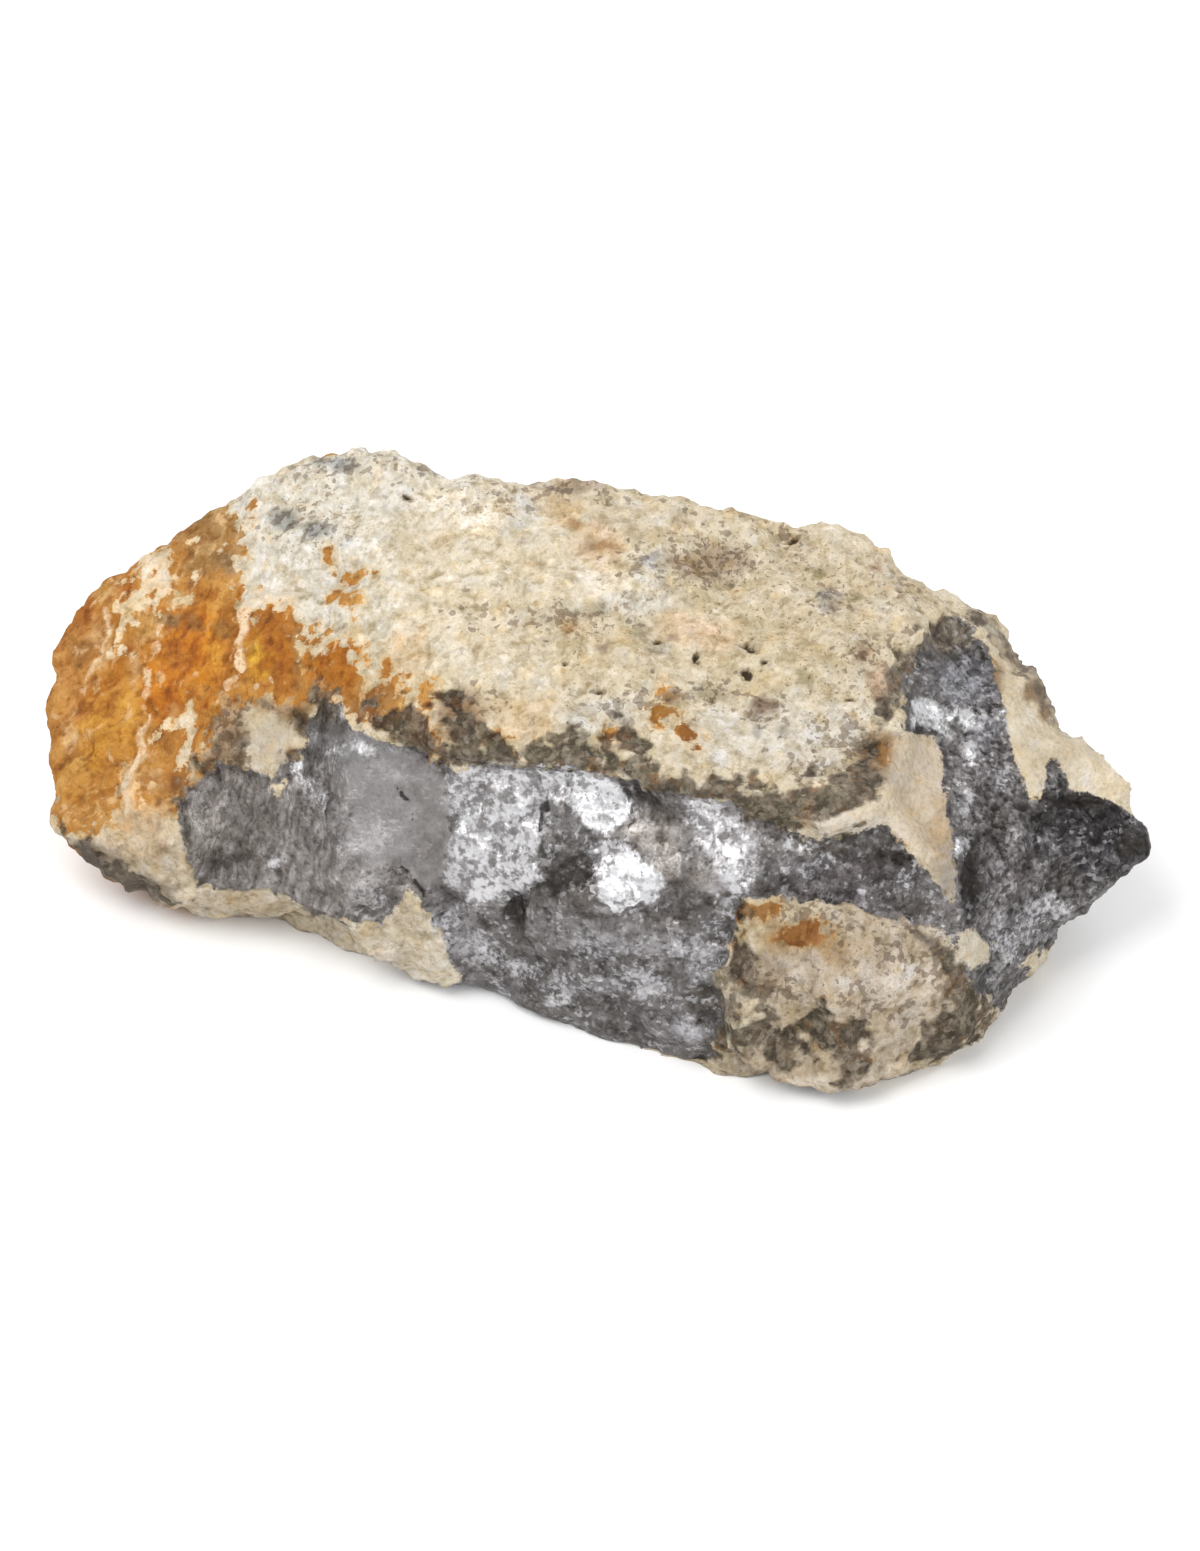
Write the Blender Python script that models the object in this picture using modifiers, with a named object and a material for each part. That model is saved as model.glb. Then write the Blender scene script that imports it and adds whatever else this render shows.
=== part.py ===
"""A hand specimen of skutterudite: one broken lump of pale vein rock that carries massive grey ore.

The lump starts as a convex hull over the corners of its fracture faces. Smaller hulls are fused
to it: the slab of vein rock that overhangs the ore, the boss at the right foot, the toe at the
left foot, and the crest and the shoulder on the far edge. Chips are scooped out of the back and
of the front foot. The fused body is remeshed finely and its skin is moved along its normals: ore
lies lower than vein rock and breaks in small flat faces, vein rock is lumpy, and the iron-stained
left end is ribbed. Last, the foot is cut flat.

Blender 4.5, metres, +Z up. The lump lies along X, and its show side faces -Y and up.
Run it with: blender --background --python part.py
"""

import math

import bmesh
import bpy
import numpy as np
from mathutils import Vector, noise

NAME = "skutterudite_specimen"
MM = 0.001

# The show side is laid out as it looks to someone who faces it: this far round from the front
# and this far above the table. "Across" runs to their right, and "up" runs up their view.
SHOW_AZIMUTH = math.radians(12)
SHOW_ELEVATION = math.radians(45)
LAYOUT_HEIGHT = 13.0  # height above the base of the point where across and up are both 0
VIEW_DISTANCE = 780.0  # how far off the viewer is

# Fine meshes and the finished triangle count.
FUSE_VOXEL = 0.7
SKIN_VOXEL = 0.55
SKIN_TRIANGLES = 9600

# How far the skin moves, in millimetres.
ORE_DEPTH = 0.75  # the ore lies this far below the vein rock around it
ORE_EDGE = 0.7  # the ledge between them falls within this distance
GROWTH = 0.35  # what smoothing the fused blocks takes off their edges
NOISE_SEED = 3  # a seed of 0 would follow the clock
SWELL_SIZE, SWELL_HEIGHT = 9.0, 0.8
LUMP_SIZE, LUMP_HEIGHT = 3.4, 0.6
FACET_SIZE, FACET_TILT = 4.2, 0.34
RIB_SIZE, RIB_HEIGHT = 2.2, 0.4


def across_axis():
    return Vector((math.cos(SHOW_AZIMUTH), math.sin(SHOW_AZIMUTH), 0))


def towards_viewer():
    flat = math.cos(SHOW_ELEVATION)
    return Vector(
        (math.sin(SHOW_AZIMUTH) * flat, -math.cos(SHOW_AZIMUTH) * flat, math.sin(SHOW_ELEVATION))
    )


ACROSS = across_axis()
TOWARDS = towards_viewer()
UP = TOWARDS.cross(ACROSS)
LAYOUT_CENTRE = Vector((0.59, -1.77, LAYOUT_HEIGHT))


def shown(across, up, height):
    """The point that shows at (across, up) on the show side and is at this height above the base."""
    towards = (height - LAYOUT_HEIGHT - up * UP.z) / TOWARDS.z
    return LAYOUT_CENTRE + ACROSS * across + UP * up + TOWARDS * towards


def seen(points):
    """Where points of the lump show to the viewer, as rows of (across, up)."""
    offsets = points - np.array(LAYOUT_CENTRE)
    nearer = VIEW_DISTANCE / (VIEW_DISTANCE - offsets @ np.array(TOWARDS))
    return offsets @ np.array([ACROSS, UP]).T * nearer[:, None]


# Corners of the fracture faces: (across, up, height) for those on the show side.
FAR_TOP_EDGE = [
    (-33.7, 15.1, 18.5),
    (-28.8, 19.2, 21.0),
    (-21.8, 22.2, 24.0),
    (-17.0, 22.4, 24.6),
    (-10.5, 21.2, 24.5),
    (0.0, 20.5, 24.0),
    (11.6, 18.4, 23.0),
    (18.3, 16.9, 21.8),
    (21.2, 14.0, 20.8),
]
BROW = [  # the edge where the top breaks down to the ore
    (-21.8, 5.9, 18.6),
    (-11.6, 2.0, 20.0),
    (0.0, 0.7, 20.4),
    (8.7, -1.7, 19.8),
    (18.9, -4.1, 18.6),
    (23.6, 9.6, 19.8),
]
LEFT_END = [
    (-37.0, 12.8, 17.0),
    (-39.8, 9.0, 15.0),
    (-40.4, 2.0, 11.0),
    (-39.7, -4.0, 7.0),
    (-37.2, -7.7, 4.0),
    (-30.1, -2.0, 11.3),
]
RIGHT_END = [
    (25.7, 12.2, 18.0),
    (28.5, 10.7, 17.0),
    (32.4, 4.0, 14.0),
    (37.0, -0.4, 12.0),
    (40.5, -5.0, 10.0),
    (37.2, -9.0, 7.0),
    (33.0, -11.3, 5.0),
    (28.8, -16.6, 3.0),
    (26.1, -9.3, 13.5),
]
ORE_FRONT = [
    (-29.0, -8.2, 4.5),
    (-11.2, -7.3, 12.5),
    (0.0, -9.6, 13.0),
    (11.6, -8.6, 13.6),
    (-10.5, -12.2, 6.0),
]
FRONT_FOOT = [
    (-29.0, -10.0, 2.0),
    (-24.7, -8.5, 3.4),
    (-18.9, -10.2, 2.8),
    (-5.6, -14.4, 1.0),
    (-1.4, -19.0, 0.5),
    (6.5, -20.5, 0.5),
    (10.2, -21.0, 0.6),
    (21.8, -21.0, 1.6),
    (25.3, -20.0, 2.5),
]

# The knob at the crest of the far edge.
CREST = [
    (-21.2, 21.6, 23.5),
    (-18.5, 23.2, 24.6),
    (-16.3, 23.8, 25.0),
    (-13.4, 22.4, 24.9),
    (-12.6, 19.5, 24.3),
    (-19.5, 19.0, 23.4),
    (-19.6, 22.7, 20.0),
    (-14.6, 22.7, 20.0),
    (-17.0, 19.0, 19.0),
]

# The shoulder on the far edge of the right end.
SHOULDER = [
    (23.0, 13.4, 19.4),
    (26.0, 13.2, 18.6),
    (28.8, 12.1, 17.4),
    (30.6, 9.2, 16.4),
    (25.0, 9.0, 18.0),
    (25.5, 13.0, 14.5),
    (29.6, 11.6, 13.0),
]

# Corners that the show side hides: (x, y, height).
BACK_FACES = [
    (-32.5, 12.3, 12.0),
    (-13.5, 18.3, 15.0),
    (8.5, 19.3, 12.5),
    (24.5, 16.3, 9.0),
    (34.5, 9.3, 6.5),
]
BACK_FOOT = [
    (-28.5, 8.8, 2.0),
    (-8.5, 13.3, 3.0),
    (14.5, 14.3, 2.5),
    (29.5, 8.3, 2.0),
]
FOOT_BELOW = -2.6  # the foot is built this low, and then cut flat at 0
FOOT = [
    (-30.5, -3.0),
    (-25.5, -5.5),
    (-20.0, -8.3),
    (-10.0, -8.0),
    (2.0, -12.6),
    (20.0, -16.0),
    (27.0, -11.7),
    (31.0, -4.2),
    (28.0, 4.3),
    (14.0, 10.8),
    (-6.0, 10.3),
    (-25.0, 5.8),
]

# The slab that overhangs the ore: its brow stands higher than the lump's own, and its underside
# runs back into the lump.
SLAB_BROW = [
    (-20.5, 6.4, 19.0),
    (-11.6, 1.6, 20.7),
    (0.0, 0.4, 21.1),
    (8.7, -2.0, 20.5),
    (18.9, -4.4, 19.3),
    (22.9, 1.5, 19.4),
    (23.2, 9.6, 20.3),
]
SLAB_UNDERSIDE = [
    (-20.0, 5.0, 15.0),
    (0.0, 0.0, 16.0),
    (18.0, -4.0, 14.5),
    (21.5, 9.0, 15.0),
]

# The boss at the right foot, a rounded knob of vein rock.
BOSS = [
    (10.3, -9.8, 12.4),
    (14.5, -8.9, 13.6),
    (20.3, -10.0, 12.8),
    (24.8, -12.6, 9.8),
    (26.0, -16.5, 5.6),
    (25.0, -19.8, 2.6),
    (17.8, -24.0, 0.8),
    (14.1, -23.3, 1.0),
    (9.4, -19.8, 3.4),
    (8.7, -15.1, 7.4),
    (11.8, -13.6, 10.2),
    (17.4, -15.8, 9.2),
    (21.8, -15.4, 8.3),
    (15.0, -12.9, 3.0),
]

# The toe at the left foot, a wedge of vein rock that comes out from under the ore.
TOE = [
    (-20.0, -11.6, 2.0),
    (-14.1, -8.9, 5.6),
    (-12.0, -11.5, 5.0),
    (-11.2, -14.9, 1.2),
    (-15.2, -14.2, 0.9),
    (-14.0, -8.0, 1.0),
]

# The hollow broken out of the front foot, left of the toe: centre (across, up, height), radius.
FOOT_HOLLOW = ((-22.4, -18.8, -2.0), 9.0)

# Chips broken out of the hidden side: centre (x, y, height) and radius of each scoop.
CHIPS = [
    ((-22.5, 26.5, 15.0), 11.5),
    ((3.5, 31.3, 21.0), 15.0),
    ((29.5, 21.5, 10.0), 9.5),
    ((15.5, 25.3, 2.5), 10.5),
    ((-23.5, 18.8, 3.0), 8.0),
]

# Outlines of the ore on the show side: (across, up).
ORE_PLATE = [
    (-30.5, -2.0), (-28.6, -0.2), (-25.7, 0.7), (-23.9, 0.0), (-21.8, 1.1), (-20.4, 4.1),
    (-18.5, 3.2), (-16.0, 2.5), (-11.6, 0.5), (-9.0, -2.0), (-9.0, -9.0), (-13.2, -8.9),
    (-14.3, -8.4), (-15.6, -10.7), (-18.9, -10.3), (-24.7, -8.4), (-29.0, -8.1), (-30.2, -5.7),
]
ORE_FACE = [
    (-12.5, 0.5), (-7.3, 0.5), (1.5, 0.0), (3.3, -1.3), (6.5, -1.1), (11.6, -2.6),
    (13.5, -5.0), (13.0, -9.0), (10.9, -9.3), (10.0, -12.2), (8.3, -15.4), (10.0, -17.3),
    (8.3, -19.4), (7.3, -23.0), (0.0, -22.0), (-7.0, -19.0), (-9.6, -16.0), (-11.6, -11.5),
    (-13.2, -8.5),
]
ORE_BAND = [
    (9.0, -2.0), (11.6, -2.6), (14.5, -4.6), (16.7, -4.8), (20.3, -4.1), (21.8, -5.1),
    (24.3, -7.8), (26.0, -9.6), (28.0, -9.0), (29.0, -12.9), (27.2, -11.5), (25.7, -11.5),
    (21.8, -10.9), (18.1, -9.6), (14.5, -9.1), (9.0, -9.3),
]
ORE_END = [
    (26.5, -5.7), (25.9, -1.3), (25.2, 2.2), (22.1, 2.7), (22.1, 5.2), (22.8, 8.8),
    (24.3, 10.7), (26.2, 10.4), (29.2, 5.2), (29.9, 1.6), (31.3, -2.0), (33.0, -1.5),
    (33.1, 0.9), (34.2, -0.9), (36.3, -1.7), (42.0, -4.0), (40.0, -10.0), (31.5, -17.0),
    (29.0, -17.3), (27.2, -15.4), (29.0, -12.9), (26.0, -9.6),
]
SHOWN_ORE = [ORE_PLATE, ORE_FACE, ORE_BAND, ORE_END]

# Outline of the ore that crops out on the hidden side, seen square on from +Y: (x, height).
HIDDEN_ORE = [
    (-20.0, 4.0), (-15.0, 11.0), (-6.0, 14.0), (2.0, 12.5), (9.0, 16.5), (20.0, 14.5),
    (29.0, 15.0), (42.0, 12.0), (42.0, 2.0), (30.0, 3.0), (24.0, -2.0), (8.0, 1.5), (-8.0, -2.0),
]
STAIN_RIGHT_EDGE = -23.0  # the iron stain lies to the left of this X

# The finished outline of the show side, as (across, up), left to right.
FAR_OUTLINE = [
    (-39.2, 9.6),
    (-37.0, 12.5),
    (-32.6, 15.8),
    (-28.3, 18.9),
    (-21.8, 22.3),
    (-17.0, 23.4),
    (-10.9, 21.2),
    (0.0, 20.7),
    (8.7, 19.2),
    (17.4, 17.7),
    (19.6, 17.0),
    (21.8, 14.8),
    (26.1, 12.5),
    (28.5, 11.4),
    (30.5, 8.6),
    (32.6, 5.0),
    (37.0, 0.8),
    (39.2, -2.8),
]
NEAR_OUTLINE = [
    (-39.2, -3.7),
    (-37.0, -7.0),
    (-30.5, -10.0),
    (-21.8, -10.6),
    (-19.6, -12.2),
    (-10.9, -15.4),
    (-8.7, -15.2),
    (-4.4, -17.5),
    (0.0, -18.9),
    (6.5, -20.7),
    (13.1, -22.5),
    (17.4, -23.5),
    (21.8, -21.9),
    (26.1, -20.4),
    (30.5, -15.4),
    (34.8, -10.2),
    (37.0, -8.8),
    (39.2, -6.5),
]
OUTLINE_STEP = 0.6  # the skin's own outline is measured in strips this wide
OUTLINE_SHIFT = 1.8  # and is moved no further than this
OUTLINE_SPARE = 0.2  # thinning out takes about this much off it


def clear_scene():
    for item in list(bpy.data.objects):
        bpy.data.objects.remove(item)


def new_collection(name):
    collection = bpy.data.collections.new(name)
    bpy.context.scene.collection.children.link(collection)
    return collection


def hull(name, corners, collection):
    """A convex block over these corners, given in millimetres."""
    block = bmesh.new()
    for corner in corners:
        block.verts.new(corner * MM)
    made = bmesh.ops.convex_hull(block, input=block.verts)
    unused = {item for item in made["geom_interior"] if isinstance(item, bmesh.types.BMVert)}
    bmesh.ops.delete(block, geom=list(unused), context="VERTS")
    bmesh.ops.recalc_face_normals(block, faces=block.faces)
    mesh = bpy.data.meshes.new(name)
    block.to_mesh(mesh)
    block.free()
    made_object = bpy.data.objects.new(name, mesh)
    collection.objects.link(made_object)
    return made_object


def scoop(index, centre, radius, collection):
    """The ball that one chip is scooped out with."""
    ball = bmesh.new()
    bmesh.ops.create_icosphere(ball, subdivisions=3, radius=radius * MM)
    mesh = bpy.data.meshes.new(f"chip_scoop_{index}")
    ball.to_mesh(mesh)
    ball.free()
    made_object = bpy.data.objects.new(mesh.name, mesh)
    made_object.location = Vector(centre) * MM
    collection.objects.link(made_object)
    return made_object


def hide_helper(item):
    item.hide_render = True
    item.display_type = "WIRE"


def add_boolean(body, operation, other):
    modifier = body.modifiers.new(f"{operation.lower()} {other.name}", "BOOLEAN")
    modifier.operation = operation
    modifier.object = other
    hide_helper(other)


def add_remesh(body, voxel):
    modifier = body.modifiers.new("even skin", "REMESH")
    modifier.mode = "VOXEL"
    modifier.voxel_size = voxel * MM


def bake_modifiers(item):
    """Replaces the object's mesh with what its modifiers make of it."""
    graph = bpy.context.evaluated_depsgraph_get()
    baked = bpy.data.meshes.new_from_object(item.evaluated_get(graph))
    item.modifiers.clear()
    item.data = baked


def lump_corners():
    shown_sets = FAR_TOP_EDGE + BROW + LEFT_END + RIGHT_END + ORE_FRONT + FRONT_FOOT
    corners = [shown(*corner) for corner in shown_sets]
    corners += [Vector(corner) for corner in BACK_FACES + BACK_FOOT]
    corners += [Vector((x, y, FOOT_BELOW)) for x, y in FOOT]
    return corners


def fused_lump(part, helpers):
    """The lump with its smaller blocks joined on and its chips taken out."""
    body = hull(NAME, lump_corners(), part)
    blocks = {
        "slab": FAR_TOP_EDGE[1:] + SLAB_BROW + SLAB_UNDERSIDE,
        "boss": BOSS,
        "toe": TOE,
        "crest": CREST,
        "shoulder": SHOULDER,
    }
    for name, block_corners in blocks.items():
        corners = [shown(*corner) for corner in block_corners]
        add_boolean(body, "UNION", hull(name, corners, helpers))
    hollow_centre, hollow_radius = FOOT_HOLLOW
    chips = CHIPS + [(shown(*hollow_centre), hollow_radius)]
    for index, (centre, radius) in enumerate(chips):
        add_boolean(body, "DIFFERENCE", scoop(index, centre, radius, helpers))
    add_remesh(body, FUSE_VOXEL)
    smooth = body.modifiers.new("round off", "SMOOTH")
    smooth.iterations = 3
    bake_modifiers(body)
    return body


def signed_distance(points, outline):
    """Distance of 2D points from an outline, positive inside it."""
    starts = np.array(outline, float)
    ends = np.roll(starts, -1, axis=0)
    nearest = np.full(len(points), np.inf)
    inside = np.zeros(len(points), bool)
    for start, end in zip(starts, ends):
        edge = end - start
        offset = points - start
        share = np.clip(offset @ edge / (edge @ edge), 0, 1)
        nearest = np.minimum(nearest, np.linalg.norm(offset - share[:, None] * edge, axis=1))
        spans = (start[1] > points[:, 1]) != (end[1] > points[:, 1])
        if edge[1]:
            crossing = start[0] + (points[:, 1] - start[1]) * edge[0] / edge[1]
            inside ^= spans & (points[:, 0] < crossing)
    return np.where(inside, nearest, -nearest)


def smooth_step(values, low, high):
    share = np.clip((values - low) / (high - low), 0, 1)
    return share * share * (3 - 2 * share)


def ore_share(points, normals):
    """How far each point of the skin is ore: 1 in the ore, 0 in the vein rock."""
    across_up = seen(points)
    shown_depth = np.max([signed_distance(across_up, outline) for outline in SHOWN_ORE], axis=0)
    hidden_depth = signed_distance(points[:, [0, 2]], HIDDEN_ORE)
    facing = smooth_step(normals @ np.array(TOWARDS), -0.15, 0.15)
    depth = facing * shown_depth + (1 - facing) * hidden_depth
    return smooth_step(depth, -ORE_EDGE / 2, ORE_EDGE / 2)


def swell(point):
    return noise.fractal(point / SWELL_SIZE, 1.0, 2.0, 3) * SWELL_HEIGHT


def lumps(point):
    """Rounded lumps with creases between them."""
    bent = point + noise.noise_vector(point / LUMP_SIZE) * 1.2
    distances, _ = noise.voronoi(bent / LUMP_SIZE)
    return (0.5 - distances[0]) * 2 * LUMP_HEIGHT


def facet_height(point, centre):
    """Height of the flat face of the grain that has its middle here."""
    tilt = noise.cell_vector(centre * 97) - Vector((0.5, 0.5, 0.5))
    return tilt.dot(point - centre * FACET_SIZE) * FACET_TILT


def facets(point):
    """Flat faces at random tilts, one for each grain of the ore, joined by short slopes."""
    distances, centres = noise.voronoi(point / FACET_SIZE)
    nearest, next_nearest = (facet_height(point, centre) for centre in centres[:2])
    share = 0.5 + 0.5 * min((distances[1] - distances[0]) / 0.25, 1.0)
    return share * nearest + (1 - share) * next_nearest


def ribs(point):
    """Ribs that run down the stained left end, as on a slickenside."""
    drift = 1.5 * noise.noise(point / 9.0)
    along = point.dot(ACROSS) + drift
    return noise.noise(Vector((along / RIB_SIZE, point.dot(UP) / 14.0, 3.7))) * RIB_HEIGHT


def skin_points(mesh):
    """The mesh's points in millimetres, one row each."""
    flat = np.empty(len(mesh.vertices) * 3, np.float32)
    mesh.vertices.foreach_get("co", flat)
    return flat.reshape(-1, 3).astype(float) / MM


def move_skin(mesh, points):
    mesh.vertices.foreach_set("co", (points * MM).astype(np.float32).ravel())
    mesh.update()


def displace_skin(body):
    """Moves each point of the skin along its normal by the relief of the rock there."""
    noise.seed_set(NOISE_SEED)
    mesh = body.data
    points = skin_points(mesh)
    normals = np.array([vertex.normal for vertex in mesh.vertices])
    ore = ore_share(points, normals)
    stain = smooth_step(STAIN_RIGHT_EDGE - points[:, 0], -2.0, 3.0) * (1 - ore)
    heights = np.empty(len(points))
    for index, place in enumerate(points):
        point = Vector(place)
        rock = (1 - stain[index]) * lumps(point) + stain[index] * ribs(point)
        heights[index] = GROWTH + swell(point) + (1 - ore[index]) * rock
        heights[index] += ore[index] * (facets(point) - ORE_DEPTH)
    move_skin(mesh, points + normals * heights[:, None])


def eased(values):
    """The values with each one averaged over its neighbours, so that the skin isn't torn."""
    weights = np.array([1, 2, 3, 4, 3, 2, 1]) / 16
    padded = np.pad(np.clip(values, -OUTLINE_SHIFT, OUTLINE_SHIFT), 3, mode="edge")
    return np.convolve(padded, weights, mode="valid")


def fit_outline(body):
    """Slides the skin level, away from the viewer or nearer, until its outline is as listed."""
    points = skin_points(body.data)
    in_play = points[:, 2] > 0
    across, up = seen(points).T
    edges = np.arange(across.min(), across.max() + OUTLINE_STEP, OUTLINE_STEP)
    strip = np.digitize(across, edges) - 1
    strips = range(len(edges) - 1)
    middles = edges[:-1] + OUTLINE_STEP / 2
    far_now = np.array([up[in_play & (strip == index)].max() for index in strips])
    near_now = np.array([up[in_play & (strip == index)].min() for index in strips])
    far_shift = np.interp(middles, *zip(*FAR_OUTLINE)) + OUTLINE_SPARE - far_now
    near_shift = np.interp(middles, *zip(*NEAR_OUTLINE)) - OUTLINE_SPARE - near_now
    ends = smooth_step(np.minimum(middles - edges[0], edges[-1] - middles), 0.5, 2.5)
    far = np.interp(across, middles, far_now)
    near = np.interp(across, middles, near_now)
    share = np.clip((up - near) / (far - near), 0, 1)
    shift = share * np.interp(across, middles, eased(far_shift) * ends)
    shift += (1 - share) * np.interp(across, middles, eased(near_shift) * ends)
    away = np.array([-math.sin(SHOW_AZIMUTH), math.cos(SHOW_AZIMUTH), 0])
    move_skin(body.data, points + away * (shift / math.sin(SHOW_ELEVATION))[:, None])


def thin_out(body):
    """Keeps the relief with fewer triangles, more of them where it bends most."""
    add_remesh(body, SKIN_VOXEL)
    bake_modifiers(body)
    body.data.calc_loop_triangles()
    decimate = body.modifiers.new("thin out", "DECIMATE")
    decimate.ratio = SKIN_TRIANGLES / len(body.data.loop_triangles)
    bake_modifiers(body)


def cut_foot_flat(body):
    """Cuts the lump flat at the table, and closes the cut with one flat face."""
    skin = bmesh.new()
    skin.from_mesh(body.data)
    cut = bmesh.ops.bisect_plane(
        skin,
        geom=skin.verts[:] + skin.edges[:] + skin.faces[:],
        plane_co=(0, 0, 0),
        plane_no=(0, 0, 1),
        clear_inner=True,
    )
    rim = [item for item in cut["geom_cut"] if isinstance(item, bmesh.types.BMEdge)]
    bmesh.ops.contextual_create(skin, geom=rim)
    bmesh.ops.triangulate(skin, faces=skin.faces)
    bmesh.ops.recalc_face_normals(skin, faces=skin.faces)
    skin.to_mesh(body.data)
    skin.free()


def centre_on_origin(body):
    """Puts the middle of the lump's box over the origin, with the foot at height 0."""
    corners = [Vector(corner) for corner in body.bound_box]
    low = Vector(map(min, *corners))
    high = Vector(map(max, *corners))
    middle = (low + high) / 2
    for vertex in body.data.vertices:
        vertex.co.x -= middle.x
        vertex.co.y -= middle.y
    body.data.update()


def rock_material():
    material = bpy.data.materials.new("vein_rock_and_ore")
    material.use_nodes = True
    surface = material.node_tree.nodes["Principled BSDF"]
    surface.inputs["Base Color"].default_value = (0.52, 0.47, 0.38, 1)
    surface.inputs["Roughness"].default_value = 0.75
    surface.inputs["Metallic"].default_value = 0.0
    return material


def main():
    clear_scene()
    part = new_collection(NAME)
    helpers = new_collection("cutters_and_blocks")
    body = fused_lump(part, helpers)
    displace_skin(body)
    fit_outline(body)
    thin_out(body)
    cut_foot_flat(body)
    centre_on_origin(body)
    body.data.materials.append(rock_material())
    body.data.shade_smooth()
    body.data.set_sharp_from_angle(angle=math.radians(35))


main()
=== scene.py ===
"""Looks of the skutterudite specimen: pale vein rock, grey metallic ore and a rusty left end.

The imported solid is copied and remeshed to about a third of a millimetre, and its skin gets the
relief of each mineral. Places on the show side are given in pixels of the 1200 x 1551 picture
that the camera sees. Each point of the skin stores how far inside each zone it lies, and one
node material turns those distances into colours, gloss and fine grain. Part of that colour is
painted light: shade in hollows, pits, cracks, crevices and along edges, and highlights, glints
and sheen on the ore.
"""

import math

import bmesh
import bpy
import numpy as np
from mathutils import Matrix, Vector, noise


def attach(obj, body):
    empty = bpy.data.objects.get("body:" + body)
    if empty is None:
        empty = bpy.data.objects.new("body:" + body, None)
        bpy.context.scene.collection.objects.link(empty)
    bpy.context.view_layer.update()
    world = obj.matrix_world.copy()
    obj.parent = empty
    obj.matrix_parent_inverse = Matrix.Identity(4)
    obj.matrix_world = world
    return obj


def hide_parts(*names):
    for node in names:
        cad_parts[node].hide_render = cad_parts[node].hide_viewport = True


NODE = "skutterudite_specimen"
MM = 0.001

# ---- the camera's view
AZIMUTH = math.radians(12)
ELEVATION = math.radians(45)
PICTURE_CENTRE = np.array((600.0, 775.5))
PICTURE_HEIGHT = 1551
PIXEL = 0.0725  # millimetres across one pixel, at the layout centre
LAYOUT_CENTRE = np.array((0.64, -1.92, 13.0))  # in millimetres
LAYOUT_ROW = 772  # the pixel row that it shows in
LENS = 250.0  # millimetres, and so is the sensor's width
SENSOR = 36.0

ACROSS = np.array((math.cos(AZIMUTH), math.sin(AZIMUTH), 0.0))
TOWARDS = np.array(
    (
        math.sin(AZIMUTH) * math.cos(ELEVATION),
        -math.cos(AZIMUTH) * math.cos(ELEVATION),
        math.sin(ELEVATION),
    )
)
UP = np.cross(TOWARDS, ACROSS)
DISTANCE = LENS / SENSOR * PICTURE_HEIGHT * PIXEL
AIM = LAYOUT_CENTRE + UP * (LAYOUT_ROW - PICTURE_CENTRE[1]) * PIXEL


def pixels(points):
    """Where points in millimetres show in the picture, as rows of (x, y)."""
    offsets = points - AIM
    nearer = DISTANCE / (DISTANCE - offsets @ TOWARDS)
    shown = offsets @ np.array((ACROSS, -UP)).T * nearer[:, None]
    return PICTURE_CENTRE + shown / PIXEL


# ---- zones, in pixels
# An outline is a list of (x, y), a ribbon is a list of (x, y, half width), and an oval is
# (x, y, half width, half height).
ORE = [
    (180, 800), (200, 780), (222, 766), (245, 768), (270, 774), (300, 757), (309, 742), (302, 728),
    (310, 710), (328, 698), (342, 706), (350, 726), (380, 737), (440, 765), (500, 765), (560, 768),
    (620, 774), (645, 792), (690, 796), (726, 806), (760, 819), (800, 836), (830, 838), (866, 828),
    (884, 826), (900, 842), (918, 862), (936, 884), (952, 905), (957, 872), (950, 835), (944, 790),
    (942, 752), (930, 736), (903, 732), (903, 700), (910, 668), (924, 640), (944, 622), (968, 620),
    (988, 650), (1003, 700), (1014, 758), (1030, 798), (1045, 797), (1048, 758), (1056, 756),
    (1068, 788), (1098, 794), (1118, 805), (1138, 820), (1160, 834), (1185, 862), (1125, 900),
    (1070, 955), (1035, 992), (1000, 1010), (978, 988), (966, 976), (960, 955), (950, 934),
    (900, 920), (850, 905), (800, 898), (742, 900), (730, 940), (712, 985), (724, 1010), (715, 1040),
    (700, 1072), (600, 1060), (520, 1025), (460, 985), (440, 930), (418, 895), (403, 888), (388, 922),
    (340, 920), (300, 908), (260, 888), (200, 884), (183, 850),
]
NUBS = [  # small islands of vein rock in the ore
    [(250, 736), (260, 712), (290, 724), (310, 742), (300, 752), (282, 752), (270, 771), (254, 771)],
    [(268, 783), (284, 780), (289, 789), (276, 794)],
    [(957, 932), (974, 930), (992, 946), (984, 962), (968, 974), (958, 956)],
    [(1024, 962), (1045, 948), (1048, 966), (1028, 978)],
]
STAIN = [  # iron stain on the left end
    (30, 640), (60, 596), (100, 580), (128, 556), (142, 554), (146, 572), (134, 596), (140, 612),
    (152, 598), (178, 606), (182, 590), (170, 572), (166, 545), (190, 500), (236, 500), (240, 530),
    (238, 560), (248, 588), (246, 616), (262, 614), (288, 620), (296, 634), (304, 656), (326, 650),
    (350, 636), (360, 660), (364, 682), (380, 678), (400, 664), (392, 690), (408, 702), (428, 722),
    (443, 735), (440, 754), (424, 758), (404, 736), (384, 722), (350, 712), (330, 702), (300, 702),
    (262, 692), (236, 690), (220, 704), (208, 722), (203, 750), (206, 774), (198, 794), (174, 808),
    (142, 800), (118, 818), (96, 826), (76, 836), (58, 822), (36, 790), (26, 700),
]
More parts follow.
